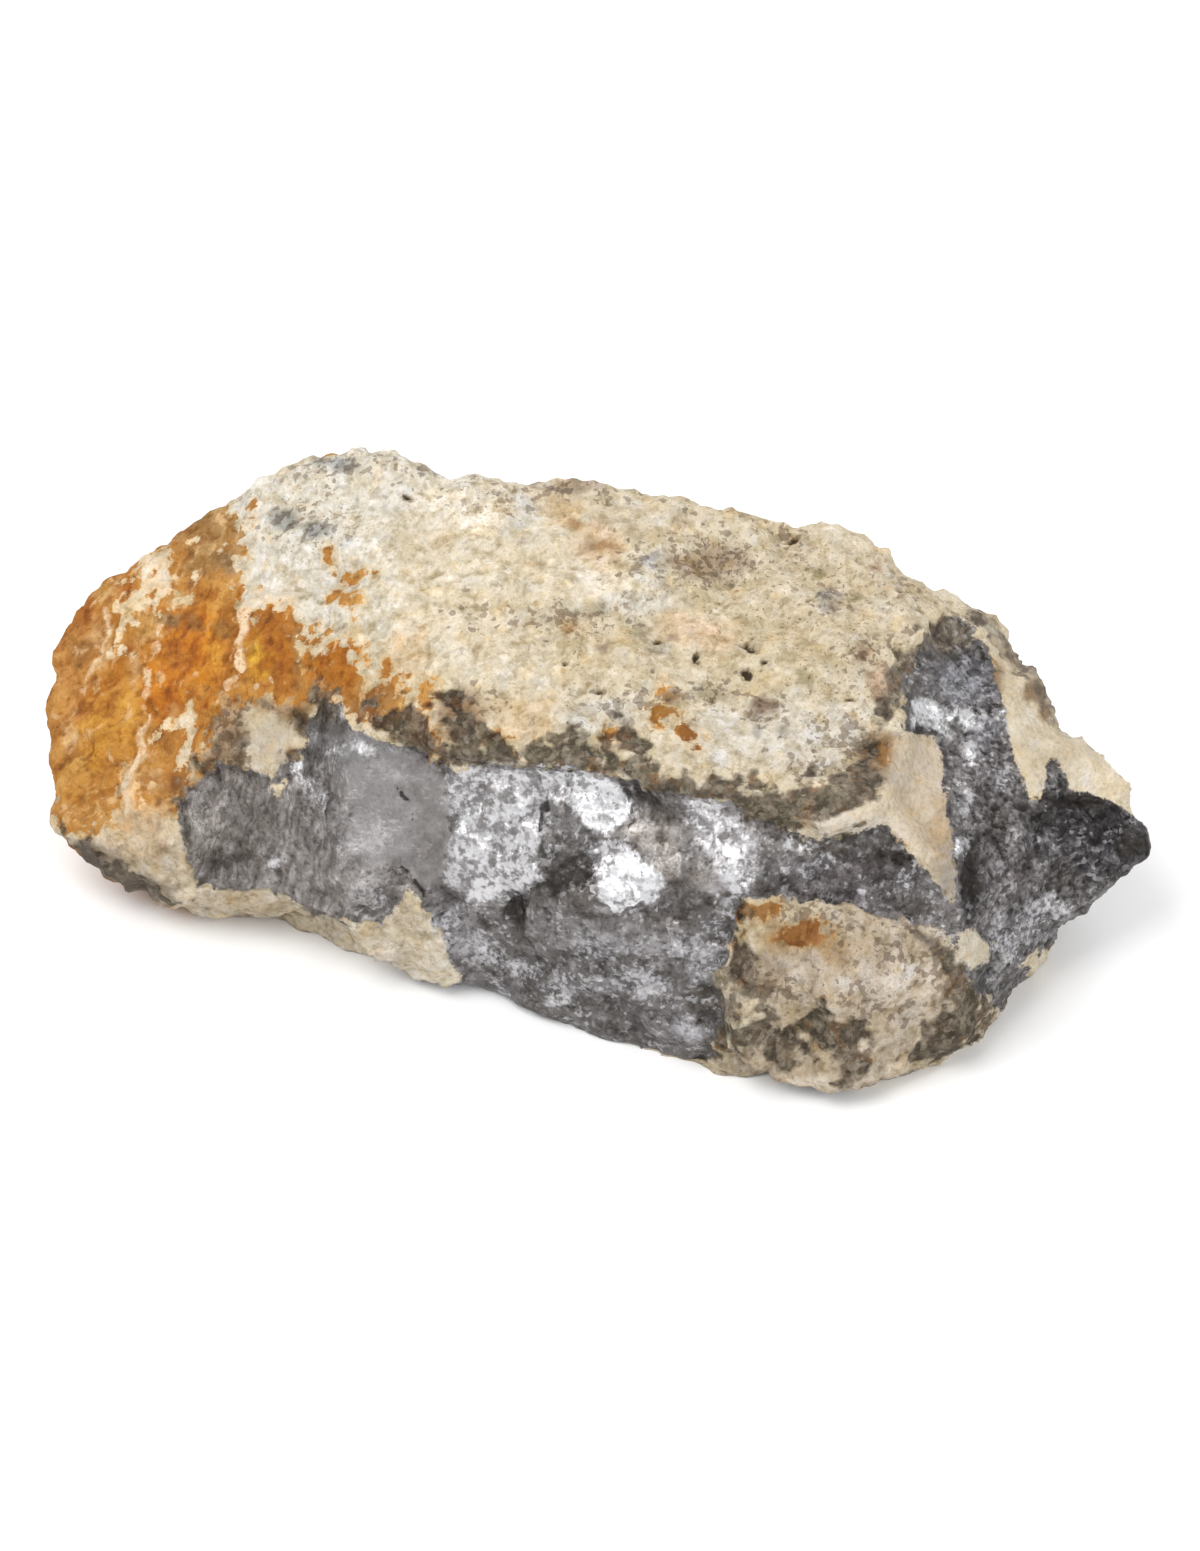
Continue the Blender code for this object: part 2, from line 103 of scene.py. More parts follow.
PALE_GAPS = [  # frayed ribbons of vein rock in the stain
    [(152, 552, 13), (154, 574, 13), (160, 596, 10), (152, 620, 5)],
    [(184, 722, 10), (188, 746, 15), (192, 764, 10)],
    [(138, 762, 5), (131, 784, 7), (126, 804, 6)],
    [(268, 596, 14), (286, 610, 10)],
    [(134, 606, 7), (128, 630, 4), (112, 654, 2)],
]
VEIN_LINES = [  # thin pale veins
    [(142, 636, -1), (147, 668, 1), (148, 690, 1), (145, 714, 2), (143, 736, 2), (138, 754, 3),
     (133, 772, 4), (127, 792, 5), (124, 812, 5)],
    [(298, 592, 0), (276, 589, 2), (256, 592, 3), (246, 610, 3), (242, 630, 2), (240, 652, 2),
     (238, 672, 1), (226, 690, 1), (214, 704, 0)],
    [(176, 600, 0), (160, 640, 1), (152, 668, 1)],
    [(112, 610, 1), (100, 650, 1), (84, 690, 1)],
    [(700, 1054, 2), (724, 1038, 3), (748, 1018, 3), (768, 1006, 2)],
    [(838, 1004, 1), (842, 1024, 2), (838, 1044, 1)],
    [(760, 830, 2), (790, 846, 1)],
]
EVEN_VEIN = [  # vein rock of one even grain
    [(892, 738), (930, 738), (942, 765), (949, 825), (957, 880), (955, 905), (930, 868),
     (905, 836), (880, 818), (822, 836), (812, 824), (866, 806), (886, 786)],
    [(985, 632), (1014, 650), (1045, 700), (1055, 722), (1092, 745), (1122, 780), (1150, 832),
     (1113, 802), (1062, 790), (1056, 760), (1046, 798), (1026, 798), (1010, 752), (1000, 700)],
    [(253, 722), (262, 712), (290, 724), (308, 742), (282, 754), (262, 770), (251, 756)],
    NUBS[2],
]
STAIN_SPOTS = [  # rust on its own in the pale rock
    (330, 560, 8, 10), (354, 576, 12, 8), (336, 597, 8, 7), (356, 600, 7, 5), (372, 578, 4, 3),
    (429, 696, 6, 15), (430, 742, 12, 15), (664, 712, 15, 11), (690, 736, 9, 13), (666, 692, 7, 6),
    (800, 933, 25, 13), (757, 909, 20, 9), (992, 676, 5, 13), (884, 755, 7, 15), (520, 738, 16, 4),
    (735, 925, 5, 18), (612, 736, 11, 7),
]
SEAMS_AND_SHADE = [  # dark seams where ore meets vein rock, and painted shade under overhangs and undersides
    [(332, 694, 8), (320, 708, 12), (306, 724, 6), (310, 742, 4)],
    [(244, 734, 1), (241, 750, 5), (247, 772, 4)],
    [(288, 757, 5), (306, 760, 8)],
    # these two: painted shade under the slab's overhanging edge
    [(380, 712, 8), (400, 724, 19), (420, 744, 16)],
    [(450, 704, 17), (460, 718, 21), (470, 738, 15)],
    [(438, 752, 8), (470, 752, 13), (505, 751, 13), (540, 756, 14), (575, 758, 17), (608, 762, 15),
     (638, 775, 13), (665, 786, 12), (700, 795, 12), (742, 806, 15), (775, 816, 18)],
    [(566, 742, 10), (590, 742, 11)],
    [(606, 740, 12), (626, 742, 13)],
    [(720, 782, 6), (736, 786, 7)],
    [(644, 786, 8), (641, 808, 8), (640, 826, 5)],
    [(764, 806, 16), (802, 808, 22), (846, 798, 24), (865, 785, 16), (864, 768, 9), (870, 752, 4),
     (884, 714, 5), (898, 682, 9), (910, 658, 10), (926, 638, 4), (952, 620, 1), (972, 618, 1)],
    [(742, 904, 6), (734, 932, 8), (738, 958, 9)],
    [(724, 972, 10), (744, 980, 12), (758, 984, 9)],
    [(700, 992, 14), (722, 1008, 15), (722, 1030, 12)],
    [(728, 1042, 16), (746, 1038, 20), (766, 1030, 17), (774, 1046, 18), (800, 1040, 13),
     (818, 1030, 10)],
    [(812, 1040, 12), (828, 1024, 14), (848, 1036, 18), (844, 1066, 18), (860, 1052, 11)],
    [(944, 942, 6), (946, 962, 9), (960, 990, 14), (972, 1008, 21), (952, 1036, 23), (922, 1052, 14)],
    # painted shade along the underside of the left end
    [(62, 834, 8), (80, 854, 14), (104, 872, 17), (130, 886, 15), (152, 897, 8), (172, 907, 4)],
    [(284, 712, 1), (298, 720, 4), (310, 740, 3)],
    [(188, 804, 1), (193, 790, 4), (206, 774, 7), (213, 752, 3)],
]
BRIGHT = [  # silvery cleavage, painted near white as a highlight where it mirrors the light
    [(564, 776), (582, 768), (604, 774), (622, 790), (629, 812), (616, 827), (598, 829),
     (584, 815), (568, 800)],
    [(602, 868), (622, 862), (642, 866), (652, 876), (661, 888), (656, 902), (640, 906),
     (616, 914), (602, 904), (594, 890)],
    [(724, 844), (736, 842), (742, 856), (736, 870), (740, 884), (731, 886), (724, 866)],
    [(912, 706), (930, 696), (946, 716), (950, 736), (934, 728), (914, 724)],
    [(952, 700), (972, 706), (986, 714), (978, 728), (958, 728)],
    [(458, 812), (474, 806), (478, 822), (464, 828)],
]
BROKEN = [  # cleavage broken up into grey, with bright patches painted white as highlight
    [(446, 772), (470, 764), (500, 772), (532, 764), (566, 768), (570, 800), (552, 812),
     (536, 850), (540, 876), (522, 898), (496, 904), (466, 902), (450, 880), (446, 850),
     (458, 822), (450, 800)],
    [(686, 798), (708, 804), (728, 816), (748, 818), (760, 842), (752, 870), (750, 894),
     (728, 896), (712, 862), (700, 844), (688, 822)],
    [(586, 844), (606, 838), (630, 846), (644, 858), (638, 870), (612, 874), (600, 880)],
    [(960, 742), (980, 738), (986, 758), (968, 764)],
]
SHEEN_SPOTS = [  # faint painted sheen on the ore, soft silvery sparkle
    (488, 952, 23, 14), (522, 970, 18, 10), (640, 982, 20, 14), (702, 962, 20, 18), (684, 1028, 18, 12),
    (596, 952, 16, 10), (680, 947, 9, 7), (448, 928, 9, 12), (600, 985, 22, 8), (1036, 920, 28, 16),
    (1010, 940, 20, 14), (820, 862, 16, 5), (892, 890, 14, 5), (560, 985, 14, 8), (500, 996, 16, 7),
    (966, 690, 22, 14), (722, 930, 8, 14), (1000, 780, 12, 16), (300, 850, 16, 10), (360, 900, 16, 10),
]
GLINTS = [  # small bright spots in the ore, painted glints
    (299, 766, 3, 5), (310, 784, 2, 3), (320, 800, 2, 4), (356, 748, 8, 2), (275, 860, 3, 3),
    (962, 846, 4, 6), (1054, 906, 8, 3), (962, 800, 3, 9), (786, 846, 10, 3), (680, 946, 4, 3),
    (600, 985, 5, 3), (555, 1000, 6, 3), (480, 948, 4, 3), (998, 722, 8, 9), (636, 978, 5, 3),
    (700, 956, 4, 3), (690, 1028, 5, 3), (1003, 955, 4, 3), (514, 972, 4, 2), (650, 990, 5, 2),
]
SHADE = [  # hollows in the ore, sunk in and painted dark as shade
    (570, 872, 18, 20), (514, 908, 8, 20), (482, 786, 9, 6), (550, 886, 18, 12), (903, 862, 10, 16),
    (585, 856, 9, 9), (545, 852, 5, 12), (880, 858, 8, 10),
    (972, 876, 9, 30), (1078, 800, 28, 5), (1130, 845, 16, 14), (1022, 806, 12, 6),
]
PLATE = [  # the smooth pale slab of ore left of the middle
    (322, 745), (335, 728), (376, 737), (442, 768), (452, 800), (452, 850), (440, 892), (415, 880),
    (392, 862), (362, 872), (342, 850), (352, 810), (328, 790),
]
STRIATED_TO = 345  # left of this x the ore is finely ribbed
DARK_END_FROM = 955  # right of this x the ore is dark and granular
CRACKS = [  # cracks in the ore, sunk in and painted dark as shade
    [(393, 780, 0), (402, 790, 1), (409, 799, 0), (414, 820, -1)],
    [(400, 868, 0), (412, 880, 1), (424, 896, 1)],
    [(543, 790, 0), (545, 820, 1), (541, 848, 0)],
    [(622, 790, 0), (632, 812, 1), (628, 832, 0)],
]
SHADED_EDGES = [  # painted shade: thin dark lines along edges and undersides of the vein rock
    [(836, 903, 2), (868, 908, 3), (895, 918, 3), (922, 935, 4), (942, 950, 4)],
    [(968, 606, 3), (986, 618, 5), (1002, 641, 7), (1023, 670, 8), (1041, 695, 7), (1054, 718, 4)],
    [(264, 704, 1), (290, 717, 1), (311, 737, 2)],
    [(60, 836, 4), (84, 860, 9), (110, 880, 11), (140, 895, 7), (170, 909, 3)],
]
SPECKED = [  # brown specks crowded together on the vein rock
    (700, 562, 40, 13), (688, 551, 22, 6), (762, 709, 13, 10), (283, 521, 14, 10), (313, 529, 14, 8),
    (331, 466, 22, 6), (864, 653, 11, 8), (829, 607, 8, 8), (486, 699, 9, 7), (899, 590, 6, 5),
    (744, 514, 12, 4), (833, 920, 15, 7), (859, 995, 9, 7), (923, 955, 8, 10), (640, 556, 6, 9),
    (716, 692, 13, 6), (793, 540, 6, 13), (552, 618, 26, 5), (565, 490, 34, 5), (640, 706, 24, 10),
    (424, 472, 10, 6), (880, 955, 10, 7), (228, 738, 22, 40), (742, 972, 14, 12), (900, 662, 10, 16),
    (905, 932, 22, 8), (812, 912, 16, 5), (780, 990, 14, 6), (870, 1008, 26, 7), (926, 975, 14, 12),
    (846, 742, 22, 14), (820, 772, 24, 8), (1028, 690, 10, 8),
]
SPRINKLED = [  # where single specks are commoner
    (800, 600, 110, 60), (700, 560, 90, 40), (850, 690, 60, 60), (590, 640, 70, 30),
    (480, 500, 60, 30), (840, 985, 60, 20), (320, 520, 50, 40), (620, 700, 60, 20),
]
DARK_PITS = [  # small holes in the vein rock, painted dark as shade
    (748, 646, 5, 5), (748, 672, 6, 5), (764, 666, 4, 3), (697, 657, 5, 4), (408, 497, 6, 4),
    (795, 538, 5, 4), (566, 662, 4, 3), (600, 690, 6, 3), (660, 640, 3, 3), (852, 700, 4, 3),
]

OUTLINE_STEPS = [  # where the skin stands out or in: (x, y, half width, half height, millimetres)
    (788, 518, 26, 26, -0.8), (1034, 668, 16, 24, 0.5), (906, 566, 14, 16, -0.6),
    (1150, 850, 20, 42, 0.5), (1070, 718, 14, 15, -0.7), (147, 898, 18, 12, -0.5),
    (712, 1068, 20, 14, -0.6),
]

# Tints painted one over another on the vein rock: an sRGB colour, its strength, its ovals.
VEIN_COLOUR = (214, 200, 174)
VEIN_TINTS = [
    ((234, 216, 186), 0.9, (150, 640, 90, 120)),
    ((225, 217, 202), 0.9, (320, 560, 90, 75), (390, 482, 100, 40), (290, 510, 60, 40)),
    ((222, 208, 182), 0.7, (480, 560, 90, 60), (450, 650, 60, 40)),
    ((228, 213, 186), 0.6, (470, 610, 30, 20), (610, 545, 30, 12)),
    ((240, 228, 208), 0.8, (468, 508, 34, 18), (620, 588, 34, 18)),
    ((206, 190, 160), 0.9, (590, 655, 75, 28), (780, 650, 85, 45), (735, 605, 50, 24)),
    ((209, 194, 168), 0.9, (820, 575, 75, 40), (880, 640, 35, 50), (640, 520, 60, 20)),
    ((213, 204, 188), 0.9, (800, 735, 70, 32), (715, 735, 40, 24), (600, 715, 40, 14)),
    ((150, 118, 86), 0.85, (460, 716, 24, 22)),
    ((128, 102, 74), 0.98, (876, 756, 20, 24)),
    ((212, 206, 195), 0.7, (642, 603, 40, 9), (655, 570, 12, 20), (520, 520, 16, 20)),
    ((226, 196, 164), 0.7, (690, 630, 28, 16), (722, 640, 12, 10), (596, 545, 20, 18)),
    ((216, 190, 154), 0.7, (524, 716, 26, 16), (560, 508, 18, 18), (410, 650, 18, 22)),
    ((196, 160, 128), 0.7, (225, 690, 18, 10), (150, 650, 10, 12), (880, 680, 16, 12)),
    ((158, 134, 108), 0.95, (228, 738, 18, 42), (212, 768, 14, 20)),
    ((190, 156, 116), 0.9, (242, 700, 28, 10), (288, 703, 26, 9)),
    ((134, 104, 74), 0.9, (186, 792, 14, 14)),
    ((190, 176, 154), 0.95, (274, 744, 20, 22)),
    ((152, 128, 98), 0.95, (290, 713, 13, 8), (300, 724, 8, 9)),
    ((176, 150, 116), 0.9, (262, 702, 18, 7)),
    ((170, 150, 128), 0.8, (710, 563, 40, 15), (565, 489, 34, 4)),
    ((134, 112, 96), 0.95, (760, 709, 12, 11)),
    ((150, 126, 102), 0.9, (864, 655, 8, 6), (605, 649, 8, 6), (656, 654, 5, 5), (672, 639, 4, 4)),
    ((156, 130, 104), 0.9, (672, 695, 8, 6), (877, 569, 8, 6), (880, 698, 9, 8), (820, 930, 5, 4)),
    ((168, 130, 88), 0.8, (570, 626, 9, 7), (578, 524, 9, 6), (600, 545, 12, 8)),
    ((148, 136, 102), 0.85, (709, 693, 12, 8), (805, 678, 7, 6), (854, 600, 6, 5), (818, 575, 8, 5)),
    ((168, 158, 134), 0.7, (574, 581, 8, 5), (596, 610, 14, 8), (642, 630, 9, 12), (658, 648, 12, 8)),
    ((158, 152, 144), 0.8, (650, 559, 7, 6), (822, 601, 7, 8), (759, 735, 4, 6), (784, 735, 4, 5)),
    ((190, 170, 138), 0.7, (552, 618, 30, 7), (716, 692, 13, 10), (793, 540, 6, 14)),
    ((170, 158, 144), 0.7, (829, 607, 9, 9), (899, 590, 6, 5), (664, 594, 5, 10)),
    ((150, 148, 140), 0.8, (283, 521, 14, 10), (313, 529, 14, 8), (331, 466, 22, 6)),
    ((226, 208, 182), 0.9, (155, 574, 20, 28), (188, 746, 12, 30), (276, 604, 18, 16)),
    ((197, 181, 159), 0.9, (930, 800, 40, 70)),
    ((208, 196, 180), 0.9, (850, 824, 40, 12)),
    ((184, 158, 126), 0.8, (940, 832, 10, 26)),
    ((158, 146, 130), 0.9, (950, 872, 14, 28)),
    ((206, 192, 168), 0.9, (1010, 680, 30, 50), (1060, 745, 40, 40), (900, 592, 30, 20)),
    ((228, 214, 190), 0.9, (1110, 780, 30, 30)),
    ((146, 122, 94), 0.9, (1031, 694, 9, 9), (996, 678, 6, 14), (1044, 712, 6, 8)),
    ((192, 176, 150), 0.8, (1012, 652, 12, 10), (1064, 752, 12, 10)),
    ((184, 168, 146), 0.95, (860, 975, 120, 64), (800, 1070, 90, 30)),
    ((193, 178, 158), 0.9, (864, 984, 64, 32)),
    ((216, 203, 187), 0.9, (910, 985, 30, 26)),
    ((202, 187, 167), 0.9, (876, 926, 34, 12)),
    ((214, 201, 182), 0.9, (806, 1084, 30, 9)),
    ((186, 172, 154), 0.8, (892, 1044, 22, 20)),
    ((172, 148, 116), 0.8, (835, 952, 18, 14), (775, 935, 20, 14)),
    ((158, 141, 119), 0.85, (765, 967, 16, 12), (742, 978, 12, 10)),
    ((212, 202, 184), 0.95, (974, 952, 26, 24)),
    ((202, 189, 168), 0.9, (410, 935, 50, 40), (300, 925, 80, 16)),
    ((190, 174, 150), 0.95, (150, 858, 90, 24), (236, 900, 50, 18)),
    ((206, 184, 154), 0.9, (138, 842, 34, 14)),
    ((170, 144, 112), 0.8, (166, 850, 8, 12)),
    ((192, 162, 126), 0.8, (140, 817, 24, 12)),
    ((226, 190, 144), 0.95, (132, 782, 18, 34)),
    # painted shade along the underside of the left end
    ((140, 128, 112), 0.9, (96, 858, 30, 14), (146, 890, 30, 10)),
]

# Tints of the iron stain.
STAIN_COLOUR = (188, 131, 58)
STAIN_TINTS = [
    ((196, 118, 20), 0.95, (190, 648, 36, 46), (160, 690, 20, 26)),
    ((176, 138, 88), 0.95, (212, 528, 30, 32), (200, 560, 16, 16)),
    ((146, 118, 84), 0.8, (226, 562, 12, 12), (196, 516, 8, 8), (166, 622, 12, 7)),
    ((200, 142, 76), 0.6, (78, 672, 26, 54)),
    ((150, 102, 48), 0.8, (191, 620, 8, 9), (82, 654, 9, 12), (224, 628, 8, 10), (158, 736, 7, 9)),
    ((178, 108, 36), 0.8, (126, 580, 14, 14), (90, 612, 14, 10), (176, 654, 10, 16)),
    ((226, 186, 138), 0.7, (100, 663, 7, 9), (134, 664, 5, 22), (70, 730, 5, 18), (170, 716, 5, 10)),
    ((208, 146, 48), 0.7, (96, 740, 12, 26), (216, 660, 8, 14)),
    ((214, 174, 116), 0.8, (148, 628, 14, 14), (106, 588, 12, 16), (182, 600, 12, 8)),
    ((194, 132, 44), 0.9, (112, 706, 26, 46)),
    ((172, 103, 16), 0.95, (272, 650, 28, 36), (334, 662, 28, 28)),
    ((226, 172, 56), 0.8, (256, 654, 9, 11), (262, 676, 8, 6)),
    ((164, 120, 66), 0.9, (378, 696, 20, 14), (362, 712, 26, 8), (296, 655, 6, 24)),
    ((214, 178, 132), 0.7, (150, 818, 30, 10), (100, 640, 10, 14), (150, 780, 16, 12)),
    ((138, 94, 52), 0.95, (182, 792, 18, 16)),
    ((192, 138, 72), 0.8, (90, 812, 30, 12)),
    ((140, 96, 50), 0.9, (430, 742, 14, 14), (757, 909, 22, 12)),
    ((148, 98, 38), 0.95, (664, 712, 18, 14), (690, 736, 12, 16), (520, 738, 18, 8)),
    ((146, 100, 56), 0.95, (800, 933, 32, 18)),
    ((134, 98, 58), 0.9, (882, 754, 16, 22)),
    ((140, 108, 70), 0.9, (994, 676, 8, 16)),
]

# Tints of the ore, painted in the same way.
ORE_COLOUR = (118, 114, 112)
ORE_TINTS = [
    ((150, 144, 139), 0.9, (245, 830, 75, 60)),
    ((160, 154, 148), 0.8, (198, 836, 18, 30), (316, 866, 24, 20)),
    ((164, 159, 155), 0.85, (330, 890, 76, 26), (400, 878, 14, 12)),
    ((162, 158, 157), 0.95, (388, 805, 58, 58)),
    # painted shade: the plate's top toned down where it faces the light
    ((146, 143, 143), 0.9, (350, 748, 36, 14)),
    ((98, 88, 76), 0.9, (322, 708, 18, 14)),
    ((144, 140, 137), 0.9, (434, 830, 14, 50)),
    ((150, 147, 147), 0.8, (455, 935, 22, 34), (650, 940, 50, 20), (600, 930, 40, 16)),
    ((164, 162, 164), 0.8, (452, 926, 16, 30), (700, 965, 15, 18), (690, 1028, 22, 12)),
    ((182, 175, 168), 0.9, (655, 833, 26, 22), (664, 872, 16, 14), (700, 875, 12, 16)),
    ((166, 162, 161), 0.9, (495, 850, 46, 50), (500, 785, 52, 20), (725, 845, 30, 46)),
    ((112, 106, 102), 0.9, (672, 922, 30, 12), (590, 896, 26, 12), (545, 880, 40, 22)),
    ((104, 98, 92), 0.9, (702, 1002, 16, 14), (520, 1020, 40, 16)),
    ((122, 118, 118), 0.9, (780, 866, 30, 24), (470, 1000, 50, 24)),
    ((104, 99, 99), 0.9, (850, 878, 60, 30)),
    ((132, 126, 118), 0.8, (800, 848, 40, 8)),
    # painted shade in the ore's hollows
    ((66, 62, 60), 0.9, (572, 873, 13, 17), (515, 908, 8, 18), (902, 860, 10, 15)),
    ((134, 129, 128), 0.95, (1010, 850, 50, 60), (990, 770, 34, 60), (945, 905, 20, 14)),
    ((82, 79, 80), 0.95, (1088, 826, 54, 36), (1122, 850, 40, 34)),
    # painted shade in a hollow and along an edge at the right end
    ((66, 63, 64), 0.95, (972, 878, 11, 38), (1078, 800, 30, 6)),
    ((142, 139, 139), 0.8, (1038, 922, 30, 14), (1005, 980, 20, 14), (1004, 932, 16, 16)),
    ((146, 145, 150), 0.9, (968, 680, 32, 20), (985, 730, 14, 16)),
    ((150, 138, 122), 0.9, (942, 634, 28, 14)),
]

# Zones on the side the camera can't see, in millimetres.
HIDDEN_ORE = [  # an outline on the back, of (x, height)
    (-20.0, 4.0), (-15.0, 11.0), (-6.0, 14.0), (2.0, 12.5), (9.0, 16.5), (20.0, 14.5),
    (29.0, 15.0), (42.0, 12.0), (42.0, 2.0), (30.0, 3.0), (24.0, -2.0), (8.0, 1.5), (-8.0, -2.0),
]
HIDDEN_STAIN_EDGE = -22.0  # the stain lies left of this x


# ---- distances
def from_line(points, start, end):
    """Distance of 2D points from a straight line, and the nearest place's share of its length."""
    edge = end - start
    offset = points - start
    share = np.clip(offset @ edge / (edge @ edge), 0, 1)
    return np.linalg.norm(offset - share[:, None] * edge, axis=1), share


def from_oval(points, oval):
    """Distance of 2D points from the middle of an oval, with its edge at 1."""
    x, y, half_width, half_height = oval
    return np.linalg.norm((points - (x, y)) / (half_width, half_height), axis=1)


def inside_outline(points, outline):
    """Distance of 2D points from an outline, positive inside it."""
    starts = np.array(outline, float)
    ends = np.roll(starts, -1, axis=0)
    nearest = np.full(len(points), np.inf)
    inside = np.zeros(len(points), bool)
    for start, end in zip(starts, ends):
        nearest = np.minimum(nearest, from_line(points, start, end)[0])
        edge = end - start
        if edge[1]:
            spans = (start[1] > points[:, 1]) != (end[1] > points[:, 1])
            crossing = start[0] + (points[:, 1] - start[1]) * edge[0] / edge[1]
            inside ^= spans & (points[:, 0] < crossing)
    return np.where(inside, nearest, -nearest)


def inside_outlines(points, outlines):
    return np.max([inside_outline(points, outline) for outline in outlines], axis=0)


def inside_ribbon(points, stops):
    """Distance inside a ribbon through stops of (x, y, half width), negative outside it."""
    stops = np.array(stops, float)
    depth = np.full(len(points), -np.inf)
    for start, end in zip(stops[:-1], stops[1:]):
        gap, share = from_line(points, start[:2], end[:2])
        depth = np.maximum(depth, start[2] + share * (end[2] - start[2]) - gap)
    return depth


def inside_ribbons(points, ribbons):
    return np.max([inside_ribbon(points, ribbon) for ribbon in ribbons], axis=0)


def inside_spots(points, ovals):
    """Distance inside the nearest of some ovals, negative outside them all."""
    return np.max([(1 - from_oval(points, oval)) * min(oval[2:]) for oval in ovals], axis=0)


def smooth_step(values, low, high):
    share = np.clip((values - low) / (high - low), 0, 1)
    return share * share * (3 - 2 * share)


# ---- noise over many points
# Each takes points in millimetres, the size of its grains in millimetres and a seed of its own.
HALF = (0.5, 0.5, 0.5)
FACET_EASING = 0.16  # cells
CENTRE_SPREAD = 97  # sets cell centres far enough apart to draw a tilt each


def scaled(points, size, seed):
    """The points in units of the size, moved by an amount that the seed sets."""
    shift = Vector((seed, seed * 1.7, seed * 2.3))
    return (Vector(point) / size + shift for point in points)


def noise_at(points, size, seed):
    return np.array([noise.noise(place) for place in scaled(points, size, seed)])


def cells_at(points, size, seed):
    """Distance to the nearest cell centre, in cells."""
    return np.array([noise.voronoi(place)[0][0] for place in scaled(points, size, seed)])


def facets_at(points, size, seed):
    """Height of flat faces at random tilts, one for each cell, eased where two cells meet."""
    half = Vector(HALF)
    heights = np.empty(len(points))
    for index, place in enumerate(scaled(points, size, seed)):
        distances, centres = noise.voronoi(place)
        share = 0.5 + 0.5 * min((distances[1] - distances[0]) / FACET_EASING, 1.0)
        near, far = (
            (noise.cell_vector(centre * CENTRE_SPREAD) - half).dot(place - centre)
            for centre in centres[:2]
        )
        heights[index] = (share * near + (1 - share) * far) * size
    return heights


# ---- the skin
SKIN_VOXEL = 0.32  # millimetres
SKIN_SMOOTHING = 7
OUTSIDE = -20  # a depth in pixels that is well outside a zone
FAR_OUTSIDE = -40

# Heights and depths of the relief, in millimetres.
PIT_DEPTH = 0.5
LINE_HEIGHT = 0.12
SEAM_DEPTH = 0.16
SHADE_DEPTH = 0.45
CRACK_DEPTH = 0.30
VEIN_ABOVE_ORE = 0.1
MEAN_RELIEF = 0.06  # taken off, so that the relief doesn't thicken the rock

# Rounds of averaging with neighbours, which tell how deep a point lies in its surroundings.
CREVICE_ROUNDS = 3
HOLLOW_ROUNDS = 14


def skin_object():
    """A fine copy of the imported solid."""
    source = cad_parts[NODE]
    rock = bpy.data.objects.new("rock_skin", source.data.copy())
    bpy.context.scene.collection.objects.link(rock)
    remesh = rock.modifiers.new("fine skin", "REMESH")
    remesh.mode = "VOXEL"
    remesh.voxel_size = SKIN_VOXEL * MM
    smooth = rock.modifiers.new("ease facets", "SMOOTH")
    smooth.iterations = SKIN_SMOOTHING
    graph = bpy.context.evaluated_depsgraph_get()
    fine = bpy.data.meshes.new_from_object(rock.evaluated_get(graph))
    rock.modifiers.clear()
    rock.data = fine
    return rock


def points_and_normals(mesh):
    """Each point of the mesh, in millimetres, and the direction that it faces."""
    points, normals = np.empty((2, len(mesh.vertices) * 3), np.float32)
    mesh.vertices.foreach_get("co", points)
    mesh.vertex_normals.foreach_get("vector", normals)
    return points.reshape(-1, 3).astype(float) / MM, normals.reshape(-1, 3).astype(float)


class Skin:
    """The points of the skin, where they show, and the noises that fray its zones and tints."""

    def __init__(self, mesh):
        self.points, self.normals = points_and_normals(mesh)
        self.facing = self.normals @ TOWARDS
        self.shown = pixels(self.points)
        self.unrest = 1 - 0.6 * smooth_step(inside_outlines(self.shown, EVEN_VEIN), -25, 0)
        self.shown[:, 0] += self.unrest * (8 * self.noise(1.7, 3.0) + 4 * self.noise(0.7, 5.0))
        self.shown[:, 1] += self.unrest * (8 * self.noise(1.7, 7.0) + 4 * self.noise(0.7, 9.0))
        self.drift = self.noise(6.0, 11.0)
        self.blotch = self.noise(1.5, 13.0)
        self.fleck = self.noise(0.75, 14.0)
        self.unevenness = self.noise(1.1, 47.0) + 0.7 * self.noise(0.5, 49.0)
        self.streaks = self.streak_places()

    def noise(self, size, seed):
        return noise_at(self.points, size, seed)

    def streak_places(self):
        """Places that vary quickly across the streaks of the left end, and slowly down them."""
        x, y = self.shown.T
        slant = 0.2 + 0.7 * smooth_step(190 - x, 0, 90)
        lean = x + slant * (y - 700) + 10 * self.noise(4.0, 27.0)
        return np.column_stack((lean * PIXEL, y * PIXEL / 5, self.points[:, 2] / 20))

    def both_sides(self, on_show, hidden):
        """One value on the side that the camera sees, and another on the hidden side."""
        share = smooth_step(self.facing, -0.2, 0.1)
        return share * on_show + (1 - share) * hidden


def ore_depth(skin):
    on_show = np.minimum(inside_outline(skin.shown, ORE), -inside_outlines(skin.shown, NUBS))
    hidden = inside_outline(skin.points[:, [0, 2]], HIDDEN_ORE) / PIXEL + 40 * skin.drift
    return skin.both_sides(on_show, hidden) + 4 * skin.unrest * skin.fleck


